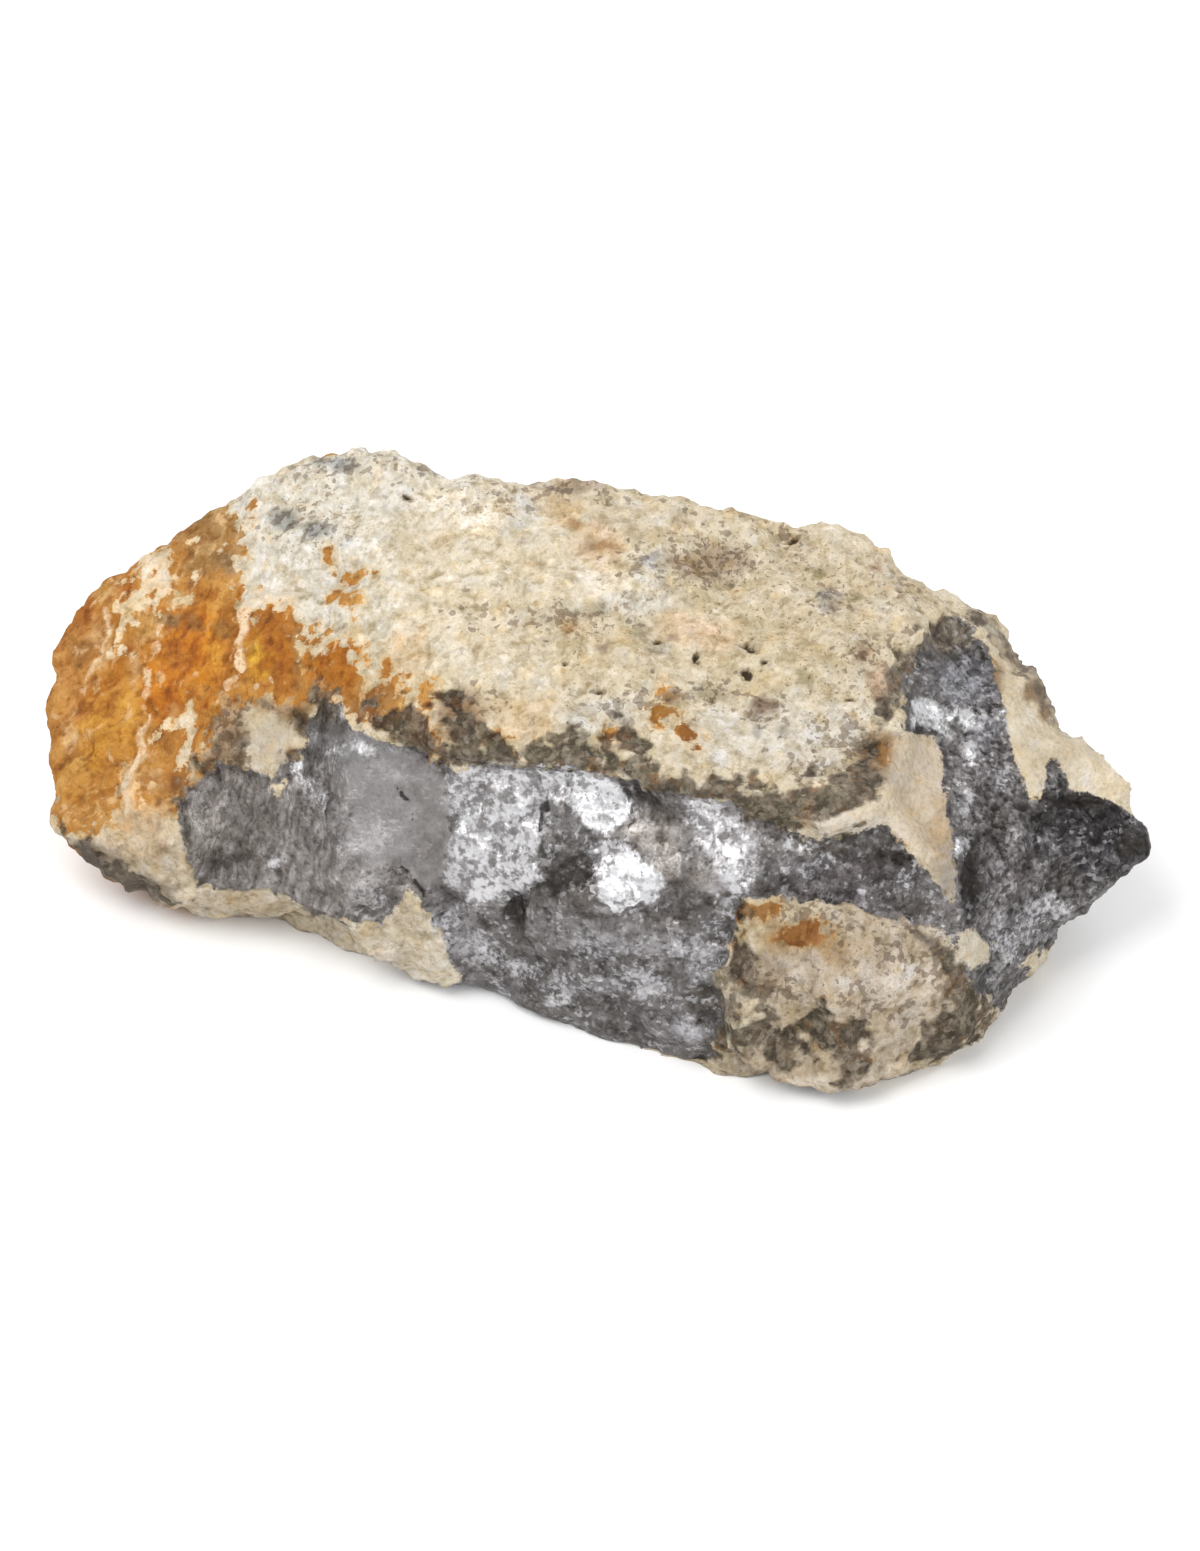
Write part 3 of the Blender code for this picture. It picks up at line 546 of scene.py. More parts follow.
def stain_depth(skin):
    on_show = np.minimum(inside_outline(skin.shown, STAIN), -inside_ribbons(skin.shown, PALE_GAPS))
    drips = noise_at(skin.streaks, 0.8, 18.0)
    on_show += 14 * skin.blotch + 14 * skin.fleck + 14 * drips
    spots = 2 * inside_spots(skin.shown, STAIN_SPOTS) + 8 * skin.fleck
    hidden = (HIDDEN_STAIN_EDGE - skin.points[:, 0]) / PIXEL + 130 * skin.drift + 20 * skin.blotch
    patches = 30 - 50 * skin.noise(3.0, 15.0) + 14 * skin.fleck
    return skin.both_sides(np.maximum(on_show, spots), np.minimum(hidden, patches))


def seam_and_shade_depth(skin, ore, even):
    hidden = 12 - np.abs(ore + 10) + 26 * skin.noise(2.2, 16.0)
    seam = skin.both_sides(inside_ribbons(skin.shown, SEAMS_AND_SHADE), hidden)
    return np.minimum(seam + 15 * skin.blotch + 13 * skin.fleck, -2 * even)


def zone_depths(skin):
    """How far inside each zone each point of the skin lies, in pixels."""
    ore = ore_depth(skin)
    even = skin.both_sides(inside_outlines(skin.shown, EVEN_VEIN), OUTSIDE)
    around = smooth_step(skin.facing, -0.7, -0.3)
    broken = inside_outlines(skin.shown, BROKEN)
    broken = np.maximum(broken, inside_spots(skin.shown, GLINTS) + 4)
    depths = {
        "ore": ore,
        "stain": stain_depth(skin),
        "seam": seam_and_shade_depth(skin, ore, even),
        "even": even,
        "end": skin.shown[:, 0] - DARK_END_FROM,
        "striated": skin.both_sides(STRIATED_TO - skin.shown[:, 0], FAR_OUTSIDE),
        "edge": around * (inside_ribbons(skin.shown, SHADED_EDGES) - OUTSIDE) + OUTSIDE,
        "broken": skin.both_sides(broken, 60 * skin.noise(2.6, 17.0) - 8),
    }
    for name, inside, shapes, hidden in (
        ("line", inside_ribbons, VEIN_LINES, OUTSIDE),
        ("crack", inside_ribbons, CRACKS, OUTSIDE),
        ("plate", inside_outlines, [PLATE], FAR_OUTSIDE),
        ("bright", inside_outlines, BRIGHT, 60 * skin.blotch - 34),
        ("shade", inside_spots, SHADE, 60 * skin.noise(3.1, 19.0) - 18),
        ("painted_sheen", inside_spots, SHEEN_SPOTS, 50 * skin.blotch - 12),
        ("specked", inside_spots, SPECKED, 40 * skin.blotch - 26),
        ("sprinkled", inside_spots, SPRINKLED, 60 * skin.drift),
        ("pit", inside_spots, DARK_PITS, 40 * skin.fleck - 26),
    ):
        depths[name] = skin.both_sides(inside(skin.shown, shapes), hidden)
    return depths


def painted(skin, colour, tints):
    """A broad colour at each point, in linear light, with each tint painted over the last."""
    result = np.tile(linear(colour)[:3], (len(skin.shown), 1))
    for tint, strength, *ovals in tints:
        for oval in ovals:
            near = np.exp(-0.6 * from_oval(skin.shown, oval) ** 2)
            share = strength * smooth_step(near + 0.25 * skin.unevenness, 0.2, 0.8)
            result += share[:, None] * (np.array(linear(tint)[:3]) - result)
    return result


def outline_steps(shown):
    height = np.zeros(len(shown))
    for *oval, millimetres in OUTLINE_STEPS:
        height += millimetres * smooth_step(1.6 - from_oval(shown, oval), 0, 1.2)
    return height


def vein_height(skin, fine_grain, even):
    """Rounded grains and knobs, bolder on the side the camera can't see."""
    back = 1 - smooth_step(skin.facing, 0.15, 0.6)
    grain = cells_at(skin.points, 1.25, 1.0)
    domes = 0.24 * (0.55 - grain**2 * 1.5) + 0.12 * (0.5 - fine_grain)
    domes *= 0.6 + 0.8 * skin.noise(2.6, 24.0) + 1.0 * back
    rough = 0.10 * skin.noise(0.9, 23.0) + 0.06 * skin.noise(0.5, 25.0)
    knobs = (0.24 + 0.35 * back) * skin.noise(3.2, 26.0) + 0.5 * back * skin.noise(1.5, 28.0)
    return (domes + rough + knobs) * (1 - 0.55 * smooth_step(even, -6, 4))


def metal_height(skin, fine_grain, ore, depths):
    """Flat tilted faces, with grit on the right end, ribs on the left and a smooth plate."""
    end = ore * smooth_step(depths["end"], -20, 20)
    plate = ore * smooth_step(depths["plate"], -8, 8)
    striated = ore * smooth_step(depths["striated"], -15, 15)
    blocks = 0.24 * facets_at(skin.points, 2.3, 33.0) + 0.20 * facets_at(skin.points, 1.1, 35.0)
    grit = 0.30 * (0.5 - fine_grain) + 0.14 * skin.noise(0.5, 37.0)
    striae = 0.09 * noise_at(skin.streaks * (1, 0.6, 1), 0.5, 39.0) + 0.06 * skin.noise(0.9, 41.0)
    flat = 0.06 * skin.noise(2.4, 43.0) + 0.015 * skin.noise(0.6, 45.0)

    metal = blocks * (1 - end) + (0.5 * blocks + grit) * end
    metal = metal * (1 - striated) + (0.2 * metal + striae) * striated
    metal = metal * (1 - plate) + flat * plate
    metal -= SHADE_DEPTH * smooth_step(depths["shade"], -3, 7)
    return metal - CRACK_DEPTH * smooth_step(depths["crack"], -1.5, 1.5)


def relief(skin, depths):
    """How far each point of the skin moves out, in millimetres."""
    ore = smooth_step(depths["ore"], -5, 5)
    stain = smooth_step(depths["stain"], -6, 6) * (1 - ore)
    seam = smooth_step(depths["seam"], -6, 6)
    fine_grain = cells_at(skin.points, 0.75, 2.0)
    vein = vein_height(skin, fine_grain, depths["even"])
    ribs = 0.08 * noise_at(skin.streaks, 1.1, 29.0) + 0.04 * noise_at(skin.streaks, 0.5, 31.0)
    rock = vein * (1 - stain) + (ribs + 0.85 * vein) * stain
    rock -= PIT_DEPTH * smooth_step(depths["pit"], -3, 3)
    rock += LINE_HEIGHT * smooth_step(depths["line"], -3, 2)
    rock = rock * (1 - seam) + (0.6 * rock - SEAM_DEPTH) * seam
    metal = metal_height(skin, fine_grain, ore, depths)
    height = (1 - ore) * (rock + VEIN_ABOVE_ORE) + ore * metal
    return height + outline_steps(skin.shown) - MEAN_RELIEF


def neighbour_mean(mesh, values, rounds):
    """The values with each point's averaged with its neighbours', a number of times."""
    pairs = np.empty(len(mesh.edges) * 2, np.int32)
    mesh.edges.foreach_get("vertices", pairs)
    first, second = pairs.reshape(-1, 2).T
    count = len(values)
    touching = np.bincount(first, minlength=count) + np.bincount(second, minlength=count) + 1
    for _ in range(rounds):
        columns = []
        for column in values.T:
            total = column + np.bincount(first, column[second], count)
            columns.append((total + np.bincount(second, column[first], count)) / touching)
        values = np.array(columns).T
    return values


def hollowness(mesh, rounds):
    """How far each point lies below the skin around it, in millimetres."""
    points, normals = points_and_normals(mesh)
    return ((neighbour_mean(mesh, points, rounds) - points) * normals).sum(axis=1)


def store(mesh, name, values):
    layer = mesh.attributes.new(name, "FLOAT", "POINT")
    layer.data.foreach_set("value", np.ascontiguousarray(values, np.float32))


def store_colour(mesh, name, colours):
    layer = mesh.attributes.new(name, "FLOAT_COLOR", "POINT")
    rows = np.column_stack((colours, np.ones(len(colours))))
    layer.data.foreach_set("color", np.ascontiguousarray(rows, np.float32).ravel())


def dress_skin(mesh):
    """Gives the fine copy its relief, and stores the zones for the material."""
    skin = Skin(mesh)
    depths = zone_depths(skin)
    on_foot = smooth_step(-skin.normals[:, 2], 0.6, 0.9)
    on_foot *= smooth_step(0.8 - skin.points[:, 2], 0, 0.6)
    places = skin.points + skin.normals * (relief(skin, depths) * (1 - on_foot))[:, None]
    places[:, 2] = np.maximum(places[:, 2], 0)
    mesh.vertices.foreach_set("co", (places * MM).astype(np.float32).ravel())
    mesh.update()
    for name, depth in depths.items():
        store(mesh, name, depth)
    store(mesh, "crevice", hollowness(mesh, CREVICE_ROUNDS))
    store(mesh, "hollow", hollowness(mesh, HOLLOW_ROUNDS))
    store(mesh, "streak_across", skin.streaks[:, 0])
    store(mesh, "streak_down", skin.streaks[:, 1])
    store_colour(mesh, "vein_tint", painted(skin, VEIN_COLOUR, VEIN_TINTS))
    store_colour(mesh, "stain_tint", painted(skin, STAIN_COLOUR, STAIN_TINTS))
    store_colour(mesh, "ore_tint", painted(skin, ORE_COLOUR, ORE_TINTS))
    mesh.shade_smooth()


# ---- node helpers
LIGHT_GAIN = 1.14  # how much lighter than its own colour a pale face shows on this stage


def linear(colour):
    """The paint, in linear light, that shows on this stage as an sRGB colour of 0 to 255."""
    shares = [channel / 255 for channel in colour]
    return tuple(
        (share / 12.92 if share <= 0.04045 else ((share + 0.055) / 1.055) ** 2.4) / LIGHT_GAIN
        for share in shares
    ) + (1.0,)


class Nodes:
    """Builds one material's node tree. Inputs are sockets, numbers or colours."""

    def __init__(self, name):
        self.material = bpy.data.materials.new(name)
        self.material.use_nodes = True
        self.tree = self.material.node_tree
        self.surface = self.tree.nodes["Principled BSDF"].inputs
        place = self.node("TexCoord", {}).outputs["Object"]
        self.place = self.vector("SCALE", place, factor=1 / MM)
        self.bent_place = self.vector("ADD", self.place, self.shake(0.45, 0.4))

    def feed(self, socket, source):
        if isinstance(source, bpy.types.NodeSocket):
            self.tree.links.new(source, socket)
        else:
            socket.default_value = source

    def node(self, kind, inputs, **settings):
        node = self.tree.nodes.new("ShaderNode" + kind)
        for name, setting in settings.items():
            setattr(node, name, setting)
        for key, source in inputs.items():
            self.feed(node.inputs[key], source)
        return node

    def vector(self, operation, first, second=(0, 0, 0), factor=1.0):
        inputs = {0: first, 1: second, 3: factor}
        outputs = self.node("VectorMath", inputs, operation=operation).outputs
        return outputs["Value" if operation == "DOT_PRODUCT" else "Vector"]

    def maths(self, operation, first, second):
        return self.node("Math", {0: first, 1: second}, operation=operation).outputs[0]

    def add(self, first, second):
        return self.maths("ADD", first, second)

    def times(self, first, second):
        return self.maths("MULTIPLY", first, second)

    def rest(self, share):
        """What a share leaves of one."""
        return self.maths("SUBTRACT", 1.0, share)

    def centred(self, value, reach):
        """A value from 0 to 1, moved and scaled to run this far in all, with 0 in the middle."""
        return self.times(self.add(value, -0.5), reach)

    def ramp(self, value, low, high, start=0.0, end=1.0):
        """The value eased from start to end as it goes from low to high, which may be lower."""
        if low > high:
            low, high, start, end = high, low, end, start
        inputs = {"Value": value, "From Min": low, "From Max": high, "To Min": start, "To Max": end}
        return self.node("MapRange", inputs, interpolation_type="SMOOTHSTEP").outputs["Result"]

    def mix(self, share, first, second, blend="MIX"):
        inputs = {0: share, 6: first, 7: second}
        return self.node("Mix", inputs, data_type="RGBA", blend_type=blend).outputs[2]

    def blend(self, share, first, second):
        """Goes from the first number to the second as the share goes from 0 to 1."""
        return self.node("Mix", {0: share, 2: first, 3: second}).outputs[0]

    def paint(self, share, colour, paint):
        """The colour painted over with an sRGB colour, to the extent of the share."""
        return self.mix(share, colour, linear(paint))

    def tone(self, share, colour, factors):
        """The colour with its channels multiplied by these factors, to the extent of the share."""
        return self.mix(share, colour, (*factors, 1.0), "MULTIPLY")

    def layered(self, colour, layers, mask=None):
        """The colour after some layers, weakened by the mask."""
        for field, none_at, full_at, most, layer, *is_paint in layers:
            share = self.ramp(getattr(self, field), none_at, full_at, 0.0, most)
            share = self.times(share, mask) if mask else share
            colour = (self.paint if is_paint else self.tone)(share, colour, layer)
        return colour

    def stored(self, name, output="Fac"):
        """What dress_skin stored under this name."""
        return self.node("Attribute", {}, attribute_name=name).outputs[output]

    def noise(self, size, detail, roughness, seed, place=None):
        """Noise from 0 to 1, its grains of this size in millimetres."""
        inputs = {"Vector": place or self.place, "W": seed, "Scale": 1 / size}
        inputs |= {"Detail": detail, "Roughness": roughness}
        return self.node("TexNoise", inputs, noise_dimensions="4D").outputs["Fac"]

    def shake(self, size, reach):
        """A vector that wanders with the noise, each way by about a third of its reach."""
        colour = self.node("TexNoise", {"Vector": self.place, "Scale": 1 / size}).outputs["Color"]
        return self.vector("SCALE", self.vector("SUBTRACT", colour, HALF), factor=reach)

    def cells(self, size, place=None):
        return self.node("TexVoronoi", {"Vector": place or self.place, "Scale": 1 / size}).outputs

    def grain(self, size):
        """One random number for each ragged grain of this size, mostly near a half."""
        colour = self.cells(size, self.bent_place)["Color"]
        return self.vector("DOT_PRODUCT", colour, (0.33, 0.33, 0.33))

    def facets(self, size):
        """Height of flat faces at random tilts, one for each cell of this size."""
        cells = self.cells(size)
        tilt = self.vector("SUBTRACT", cells["Color"], HALF)
        offset = self.vector("SUBTRACT", self.place, cells["Position"])
        return self.vector("DOT_PRODUCT", tilt, offset)


# ---- the material
# A layer of colour has the field of RockNodes that it follows, the field's levels where it
# starts and where it is full, and its share there. It multiplies red, green and blue by its
# factors, or covers them where it is marked as paint, an sRGB colour.
PAINT = True
VEIN_LAYERS = [
    ("broad", 0.52, 0.36, 0.9, (0.87, 0.84, 0.76)),
    ("broad", 0.52, 0.68, 0.9, (1.09, 1.13, 1.23)),
    ("warm", 0.48, 0.34, 1, (0.94, 0.98, 1.06)),
    ("warm", 0.54, 0.68, 1, (1.06, 0.99, 0.88)),
    ("fine", 0.47, 0.34, 0.6, (0.76, 0.74, 0.68)),
    # painted shade: darker in crevices and hollows, and painted light: lighter on ridges
    ("crevice", 0.01, 0.09, 1, (0.70, 0.66, 0.58)),
    ("crevice", -0.01, -0.07, 1, (1.08, 1.09, 1.12)),
    ("hollow", 0.08, 0.32, 1, (0.76, 0.72, 0.66)),
]
UNEVEN_VEIN_LAYERS = [
    ("soft", 0.48, 0.36, 1, (0.88, 0.87, 0.82)),
    ("soft", 0.54, 0.66, 1, (1.07, 1.08, 1.10)),
    ("mid", 0.47, 0.34, 1, (0.80, 0.77, 0.70)),
    ("mid", 0.54, 0.68, 1, (1.11, 1.13, 1.17)),
    ("large_grain", 0.42, 0.32, 1, (0.90, 0.89, 0.87)),
    ("large_grain", 0.60, 0.70, 1, (1.05, 1.06, 1.08)),
    ("small_grain", 0.38, 0.28, 1, (0.84, 0.82, 0.79)),
    ("small_grain", 0.60, 0.72, 1, (1.08, 1.09, 1.12)),
]
STAIN_LAYERS = [
    ("wide_streaks", 0.5, 0.38, 1, (0.80, 0.67, 0.44)),
    ("wide_streaks", 0.52, 0.64, 1, (1.14, 1.26, 1.5)),
    ("ragged", 0.48, 0.40, 1, (0.72, 0.58, 0.38)),
    ("ragged", 0.55, 0.62, 0.7, (228, 188, 136), PAINT),
    ("warm", 0.48, 0.36, 0.9, (0.90, 0.82, 0.56)),
    ("warm", 0.54, 0.66, 0.8, (1.06, 1.10, 1.2)),
    ("mid", 0.46, 0.36, 0.8, (0.80, 0.72, 0.56)),
    ("mid", 0.56, 0.66, 0.7, (1.08, 1.10, 1.12)),
    ("small_grain", 0.36, 0.26, 0.5, (0.78, 0.72, 0.62)),
    ("small_grain", 0.64, 0.74, 0.5, (1.12, 1.2, 1.35)),
    ("large_grain", 0.42, 0.32, 0.7, (0.82, 0.76, 0.66)),
    ("large_grain", 0.60, 0.70, 0.7, (1.05, 1.08, 1.12)),
    ("fine", 0.47, 0.36, 0.6, (0.76, 0.70, 0.60)),
    # painted shade: darker in crevices and hollows
    ("crevice", 0.0, 0.06, 1, (0.66, 0.60, 0.50)),
    ("hollow", 0.05, 0.28, 1, (0.74, 0.68, 0.58)),
]
SEAM_AND_SHADE_LAYERS = [
    ("broad", 0.42, 0.58, 1, (120, 104, 88), PAINT),
    ("mid", 0.54, 0.40, 1, (0.42, 0.40, 0.40)),
    ("mid", 0.54, 0.68, 0.6, (158, 147, 128), PAINT),
    ("warm", 0.54, 0.64, 0.6, (134, 94, 54), PAINT),
    ("soft", 0.5, 0.38, 0.9, (0.56, 0.56, 0.56)),
    ("soft", 0.56, 0.68, 0.5, (162, 150, 130), PAINT),
    ("large_grain", 0.44, 0.32, 0.6, (0.66, 0.66, 0.66)),
    ("small_grain", 0.58, 0.70, 0.4, (168, 156, 138), PAINT),
    ("small_grain", 0.40, 0.30, 0.8, (0.56, 0.55, 0.56)),
    ("seam", 0, 12, 1, (0.74, 0.73, 0.72)),
    ("fine", 0.5, 0.38, 0.9, (0.58, 0.56, 0.54)),
    # painted shade: darker in crevices
    ("crevice", 0.0, 0.06, 1, (0.58, 0.56, 0.54)),
]
ORE_LAYERS = [
    ("broad", 0.5, 0.38, 0.9, (0.68, 0.66, 0.64)),
    ("broad", 0.52, 0.64, 0.9, (1.32, 1.32, 1.34)),
    ("warm", 0.48, 0.38, 0.9, (0.76, 0.75, 0.73)),
    ("warm", 0.52, 0.64, 0.9, (1.26, 1.26, 1.28)),
    ("mid", 0.5, 0.36, 0.9, (0.62, 0.60, 0.59)),
    ("mid", 0.54, 0.68, 0.9, (1.45, 1.46, 1.5)),
    ("fine", 0.48, 0.36, 0.9, (0.55, 0.54, 0.53)),
]
STRIATED_LAYERS = [
    ("streaks", 0.54, 0.42, 1, (0.66, 0.64, 0.62)),
    ("streaks", 0.54, 0.64, 1, (1.2, 1.2, 1.2)),
]

# Other paints.
THIN_VEIN = (208, 196, 176)
STAINED_THIN_VEIN = (236, 206, 168)
SEAM_AND_SHADE_OLIVE = (108, 99, 80)
EDGE_SHADE = (96, 86, 76)
PIT_SHADE = (62, 52, 38)
SPARKLE = (206, 205, 208)
SHADE_GREY = (60, 56, 52)
BROKEN_GREY = (158, 155, 156)
BROKEN_HIGHLIGHT = (228, 227, 229)
SHEEN_SILVER = (196, 195, 199)
SILVER_HIGHLIGHT = (236, 236, 238)
DULL_SILVER = (148, 144, 144)
CRACK_SHADE = (50, 46, 44)


class RockNodes(Nodes):
    """The noises, grains and stored depths that the minerals share."""

    def __init__(self, name):
        super().__init__(name)
        self.fine = self.noise(0.30, 3, 0.6, 4)
        self.mid = self.noise(0.85, 3, 0.58, 2)
        self.soft = self.noise(1.1, 3, 0.52, 37)
        self.warm = self.noise(1.4, 3, 0.55, 21)
        self.broad = self.noise(2.0, 4, 0.6, 7)
        self.ore_grain = self.grain(0.3)
        self.small_grain = self.grain(0.42)
        self.large_grain = self.grain(0.95)
        streak = {0: self.stored("streak_across"), 1: self.stored("streak_down")}
        streak_place = self.node("CombineXYZ", streak).outputs[0]
        self.streaks = self.noise(0.55, 5, 0.62, 6, streak_place)
        self.wide_streaks = self.noise(1.9, 3, 0.55, 8, streak_place)
        clouds = self.noise(1.5, 4, 0.58, 33)
        self.ragged = self.add(self.times(self.streaks, 0.4), self.times(clouds, 0.6))
        self.crevice = self.stored("crevice")
        self.hollow = self.stored("hollow")
        self.seam = self.stored("seam")
        self.fray = self.centred(self.fine, 22.0)
        self.grain_fray = self.add(self.fray, self.centred(self.large_grain, 30.0))
        self.wide_fray = self.add(self.grain_fray, self.centred(self.mid, 26.0))
        self.even = self.zone("even", -4, 4, self.fray)
        self.near_stain = self.ramp(self.add(self.stored("stain"), self.wide_fray), -18, 0, 0, 0.9)

    def zone(self, name, low, high, spread):
        """A mask of a stored zone, its edge frayed by the spread."""
        return self.ramp(self.add(self.stored(name), spread), low, high)


def vein_colour(rock):
    """The broad tint, mottled with white quartz, tan clay and small dark specks."""
    uneven = rock.rest(rock.times(rock.even, 0.65))
    vein = rock.layered(rock.stored("vein_tint", "Color"), VEIN_LAYERS)
    vein = rock.layered(vein, UNEVEN_VEIN_LAYERS, uneven)
    crowded = rock.add(rock.small_grain, rock.times(rock.fine, 0.4))
    crowded = rock.add(crowded, rock.times(rock.stored("specked"), 0.012))
    crowded = rock.times(rock.ramp(crowded, 0.74, 0.82), uneven)
    vein = rock.tone(crowded, vein, (0.50, 0.46, 0.43))
    vein = rock.tone(rock.near_stain, vein, (1.0, 0.88, 0.70))
    specks = rock.ramp(rock.noise(0.24, 2, 0.5, 23), 0.60, 0.68)
    specks = rock.times(specks, rock.ramp(rock.stored("sprinkled"), -20, 20, 0.3, 0.9))
    return rock.tone(rock.times(specks, uneven), vein, (0.42, 0.38, 0.32))


def vein_rock_colour(rock):
    """All but the ore: vein rock and its stain, thin veins and dark seams, with painted shade
    on parts of the seams, along edges and in pits.
    """
    ramp, times, zone = rock.ramp, rock.times, rock.zone
    stain = times(zone("stain", -3, 3, rock.wide_fray), 0.97)
    stain_colour = rock.layered(rock.stored("stain_tint", "Color"), STAIN_LAYERS)
    colour = rock.mix(stain, vein_colour(rock), stain_colour)
    line = zone("line", -2, 1.5, times(rock.wide_fray, 0.2))
    line = times(line, ramp(rock.add(rock.fine, times(rock.mid, 0.5)), 0.72, 0.86, 1.0, 0.4))
    line_colour = rock.mix(rock.near_stain, linear(THIN_VEIN), linear(STAINED_THIN_VEIN))
    colour = rock.mix(line, colour, line_colour)
    seam_and_shade_fray = rock.add(rock.centred(rock.soft, 40.0), times(rock.grain_fray, 0.5))
    seam_and_shade_colour = rock.layered(linear(SEAM_AND_SHADE_OLIVE), SEAM_AND_SHADE_LAYERS)
    colour = rock.mix(times(zone("seam", -7, 5, seam_and_shade_fray), 0.92), colour, seam_and_shade_colour)
    # painted shade: thin dark lines along edges and undersides
    edge = zone("edge", -4, 1, times(rock.grain_fray, 0.35))
    edge = times(edge, ramp(rock.mid, 0.36, 0.6, 0.9, 0.4))
    colour = rock.paint(edge, colour, EDGE_SHADE)
    # pits painted dark as shade
    return rock.paint(zone("pit", -1, 2, times(rock.fray, 0.3)), colour, PIT_SHADE)


def ore_colour(rock, bright, broken):
    """Grey metal, with painted sparkle, glints and sheen, and cleavage painted near white as
    highlight. Hollows and cracks are painted dark as shade, and the right end is darkest.
    """
    ramp, times, zone, paint = rock.ramp, rock.times, rock.zone, rock.paint
    end = zone("end", -25, 25, rock.wide_fray)
    striated = zone("striated", -14, 14, rock.wide_fray)
    rough = rock.rest(times(zone("plate", -3, 3, times(rock.wide_fray, 0.5)), 0.6))
    sparkling = times(rough, rock.rest(times(striated, 0.7)))

    metal = rock.layered(rock.stored("ore_tint", "Color"), ORE_LAYERS, rough)
    sparkle = times(ramp(rock.ore_grain, 0.58, 0.72, 0, 0.6), ramp(rock.broad, 0.44, 0.58, 0.2, 1))
    sparkle = times(sparkle, ramp(end, 0, 1, 1.0, 0.6))
    metal = paint(times(sparkle, sparkling), metal, SPARKLE)
    metal = rock.layered(metal, STRIATED_LAYERS, striated)
    grainy = times(ramp(rock.ore_grain, 0.48, 0.36, 0, 0.8), end)
    metal = rock.tone(grainy, metal, (0.42, 0.42, 0.44))
    # painted shade: the rough ore darker in its crevices
    metal = rock.tone(times(ramp(rock.crevice, 0, 0.05), rough), metal, (0.55, 0.54, 0.53))
    # painted shade in the ore's hollows
    shade = zone("shade", -6, 6, times(rock.wide_fray, 0.6))
    metal = paint(times(shade, 0.75), metal, SHADE_GREY)

    shine = rock.noise(0.62, 3, 0.62, 12)
    # broken cleavage: grey, with patches painted white as highlight
    metal = paint(times(broken, 0.5), metal, BROKEN_GREY)
    patchy = times(broken, ramp(rock.add(shine, rock.centred(rock.broad, 0.5)), 0.42, 0.58))
    metal = paint(times(patchy, 0.92), metal, BROKEN_HIGHLIGHT)
    # painted sheen: soft silvery sparkle patches on the ore
    painted_sheen = zone("painted_sheen", -5, 7, rock.wide_fray)
    sheen = times(painted_sheen, ramp(rock.noise(0.36, 3, 0.6, 31), 0.48, 0.58, 0.1, 0.85))
    metal = paint(times(sheen, sparkling), metal, SHEEN_SILVER)
    # bright cleavage: the metal's own silver, painted near white as a highlight
    silver = rock.mix(ramp(shine, 0.38, 0.47, 0.8, 0), linear(SILVER_HIGHLIGHT), linear(DULL_SILVER))
    silver = rock.tone(ramp(rock.ore_grain, 0.32, 0.42, 0.8, 0), silver, (0.66, 0.66, 0.66))
    metal = rock.mix(bright, metal, silver)
    # cracks painted dark as shade
    crack = zone("crack", -2.0, -0.6, times(rock.fray, 0.05))
    return paint(times(crack, 0.85), metal, CRACK_SHADE)


def fine_relief(rock):
    """Sugary grain on the vein rock and tiny flat faces on the ore, in millimetres."""
    ramp, add, times, stored = rock.ramp, rock.add, rock.times, rock.stored
    sugar = add(times(rock.cells(0.5)["Distance"], -0.22), times(rock.fine, 0.34))
    flakes = add(times(rock.facets(0.8), 0.7), times(rock.facets(0.36), 0.35))
    for name, reach, share in (("plate", 4, 0.35), ("striated", 14, 0.45), ("bright", 5, 0.4)):
        flakes = times(flakes, ramp(stored(name), -reach, reach, 1.0, share))
    ribbed = ramp(stored("striated"), -14, 14, 0, 0.5)
    flakes = add(add(flakes, times(ribbed, rock.streaks)), times(rock.fine, 0.12))
    flakes = times(flakes, ramp(stored("end"), -25, 25, 1.0, 0.7))
    return rock.blend(ramp(stored("ore"), -2, 2), sugar, flakes)


def rock_material():
    rock = RockNodes("rock_and_ore")
    jag = rock.times(rock.centred(rock.mid, 16.0), rock.rest(rock.even))
    ore = rock.zone("ore", -1.5, 1.5, rock.add(rock.times(rock.fray, 0.6), jag))
    bright = rock.zone("bright", -4, 4, rock.times(rock.wide_fray, 0.4))
    broken = rock.zone("broken", -4, 6, rock.fray)
    colour = rock.mix(ore, vein_rock_colour(rock), ore_colour(rock, bright, broken))
    rock.feed(rock.surface["Base Color"], colour)
    metallic = rock.times(ore, rock.ramp(rock.mid, 0.3, 0.6, 0.6, 0.9))
    rock.feed(rock.surface["Metallic"], metallic)
    vein_roughness = rock.ramp(rock.small_grain, 0.58, 0.72, 0.88, 0.6)
    ore_roughness = rock.ramp(rock.add(bright, broken), 0, 1, 0.46, 0.38)
    rock.feed(rock.surface["Roughness"], rock.blend(ore, vein_roughness, ore_roughness))
    bump = rock.node("Bump", {"Strength": 0.75, "Distance": MM, "Height": fine_relief(rock)})
    rock.feed(rock.surface["Normal"], bump.outputs["Normal"])
    rock.surface["Specular IOR Level"].default_value = 0.25
    return rock.material


# ---- stage, lights, camera
FLOOR_HALF_WIDTH = 4.0  # metres
LIGHTS_AIM = (0, 0, 10)
WORLD_STRENGTH = 0.60


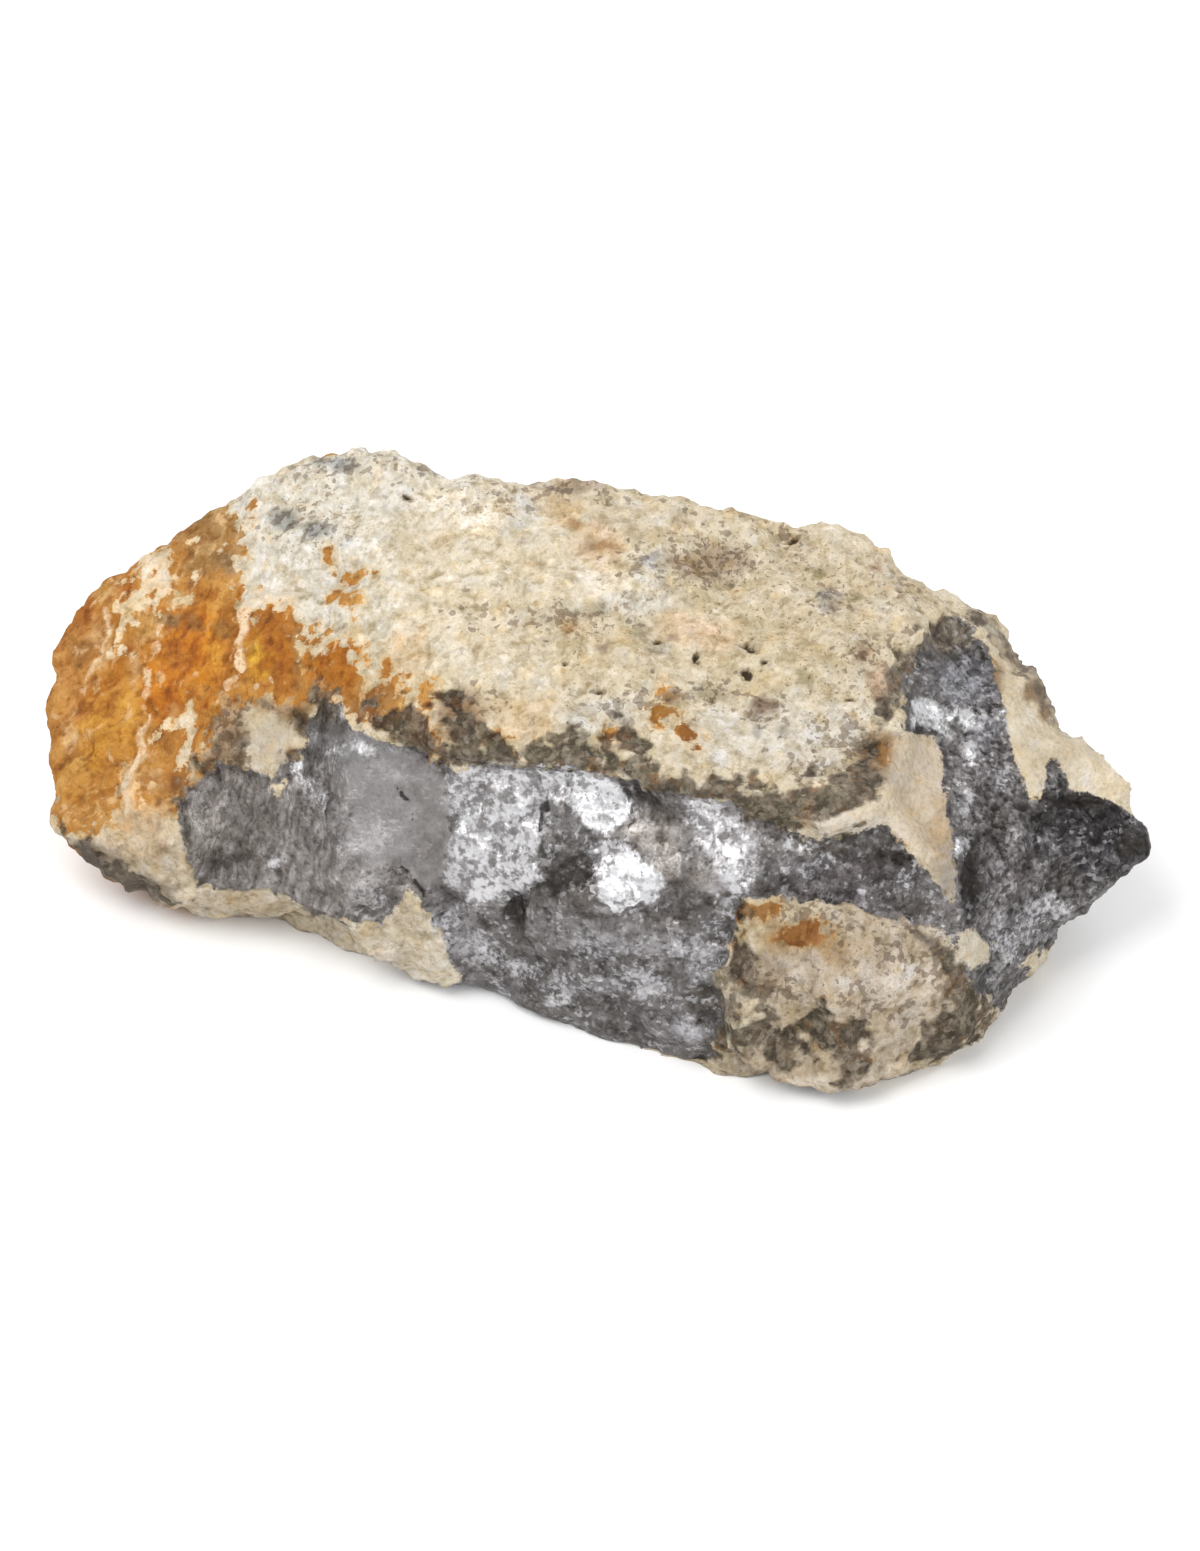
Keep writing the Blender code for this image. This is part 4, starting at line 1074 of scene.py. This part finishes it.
def add_floor():
    mesh = bpy.data.meshes.new("floor")
    shape = bmesh.new()
    bmesh.ops.create_grid(shape, x_segments=1, y_segments=1, size=FLOOR_HALF_WIDTH)
    shape.to_mesh(mesh)
    shape.free()
    floor = bpy.data.objects.new("floor", mesh)
    bpy.context.scene.collection.objects.link(floor)
    material = bpy.data.materials.new("pale_floor")
    material.use_nodes = True
    surface = material.node_tree.nodes["Principled BSDF"]
    surface.inputs["Base Color"].default_value = (0.93, 0.93, 0.93, 1)
    surface.inputs["Roughness"].default_value = 0.9
    surface.inputs["Specular IOR Level"].default_value = 0.0
    mesh.materials.append(material)


def add_softbox(name, place, size, power):
    """A square area light, its place and size in millimetres and its power in watts."""
    light = bpy.data.lights.new(name, "AREA")
    light.shape = "SQUARE"
    light.size = size * MM
    light.energy = power
    lamp = bpy.data.objects.new(name, light)
    lamp.location = Vector(place) * MM
    lamp.rotation_euler = (Vector(place) - Vector(LIGHTS_AIM)).to_track_quat("Z", "Y").to_euler()
    bpy.context.scene.collection.objects.link(lamp)


def add_lights():
    world = bpy.data.worlds.new("studio")
    bpy.context.scene.world = world
    world.use_nodes = True
    world.node_tree.nodes["Background"].inputs["Color"].default_value = (1, 1, 1, 1)
    world.node_tree.nodes["Background"].inputs["Strength"].default_value = WORLD_STRENGTH
    add_softbox("key", (-220, -200, 560), 420, 2.5)
    add_softbox("fill", (380, -300, 380), 300, 1.2)
    add_softbox("back", (0, 480, 420), 400, 1.3)


def add_camera():
    data = bpy.data.cameras.new("photo_view")
    data.lens = LENS
    data.sensor_width = SENSOR
    data.clip_start = 0.01
    camera = bpy.data.objects.new("photo_view", data)
    camera.location = Vector(AIM + TOWARDS * DISTANCE) * MM
    camera.rotation_euler = Vector(TOWARDS).to_track_quat("Z", "Y").to_euler()
    bpy.context.scene.collection.objects.link(camera)
    bpy.context.scene.camera = camera


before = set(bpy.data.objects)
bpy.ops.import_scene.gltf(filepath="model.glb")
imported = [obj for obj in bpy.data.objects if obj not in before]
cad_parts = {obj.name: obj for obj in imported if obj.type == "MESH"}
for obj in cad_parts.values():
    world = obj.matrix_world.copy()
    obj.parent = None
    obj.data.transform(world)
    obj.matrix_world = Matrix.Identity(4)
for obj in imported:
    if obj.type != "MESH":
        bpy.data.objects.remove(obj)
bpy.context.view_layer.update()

rock = skin_object()
dress_skin(rock.data)
rock.data.materials.clear()
rock.data.materials.append(rock_material())
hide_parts(NODE)
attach(rock, "root")

add_floor()
add_lights()
add_camera()
bpy.context.scene.view_settings.view_transform = "Standard"
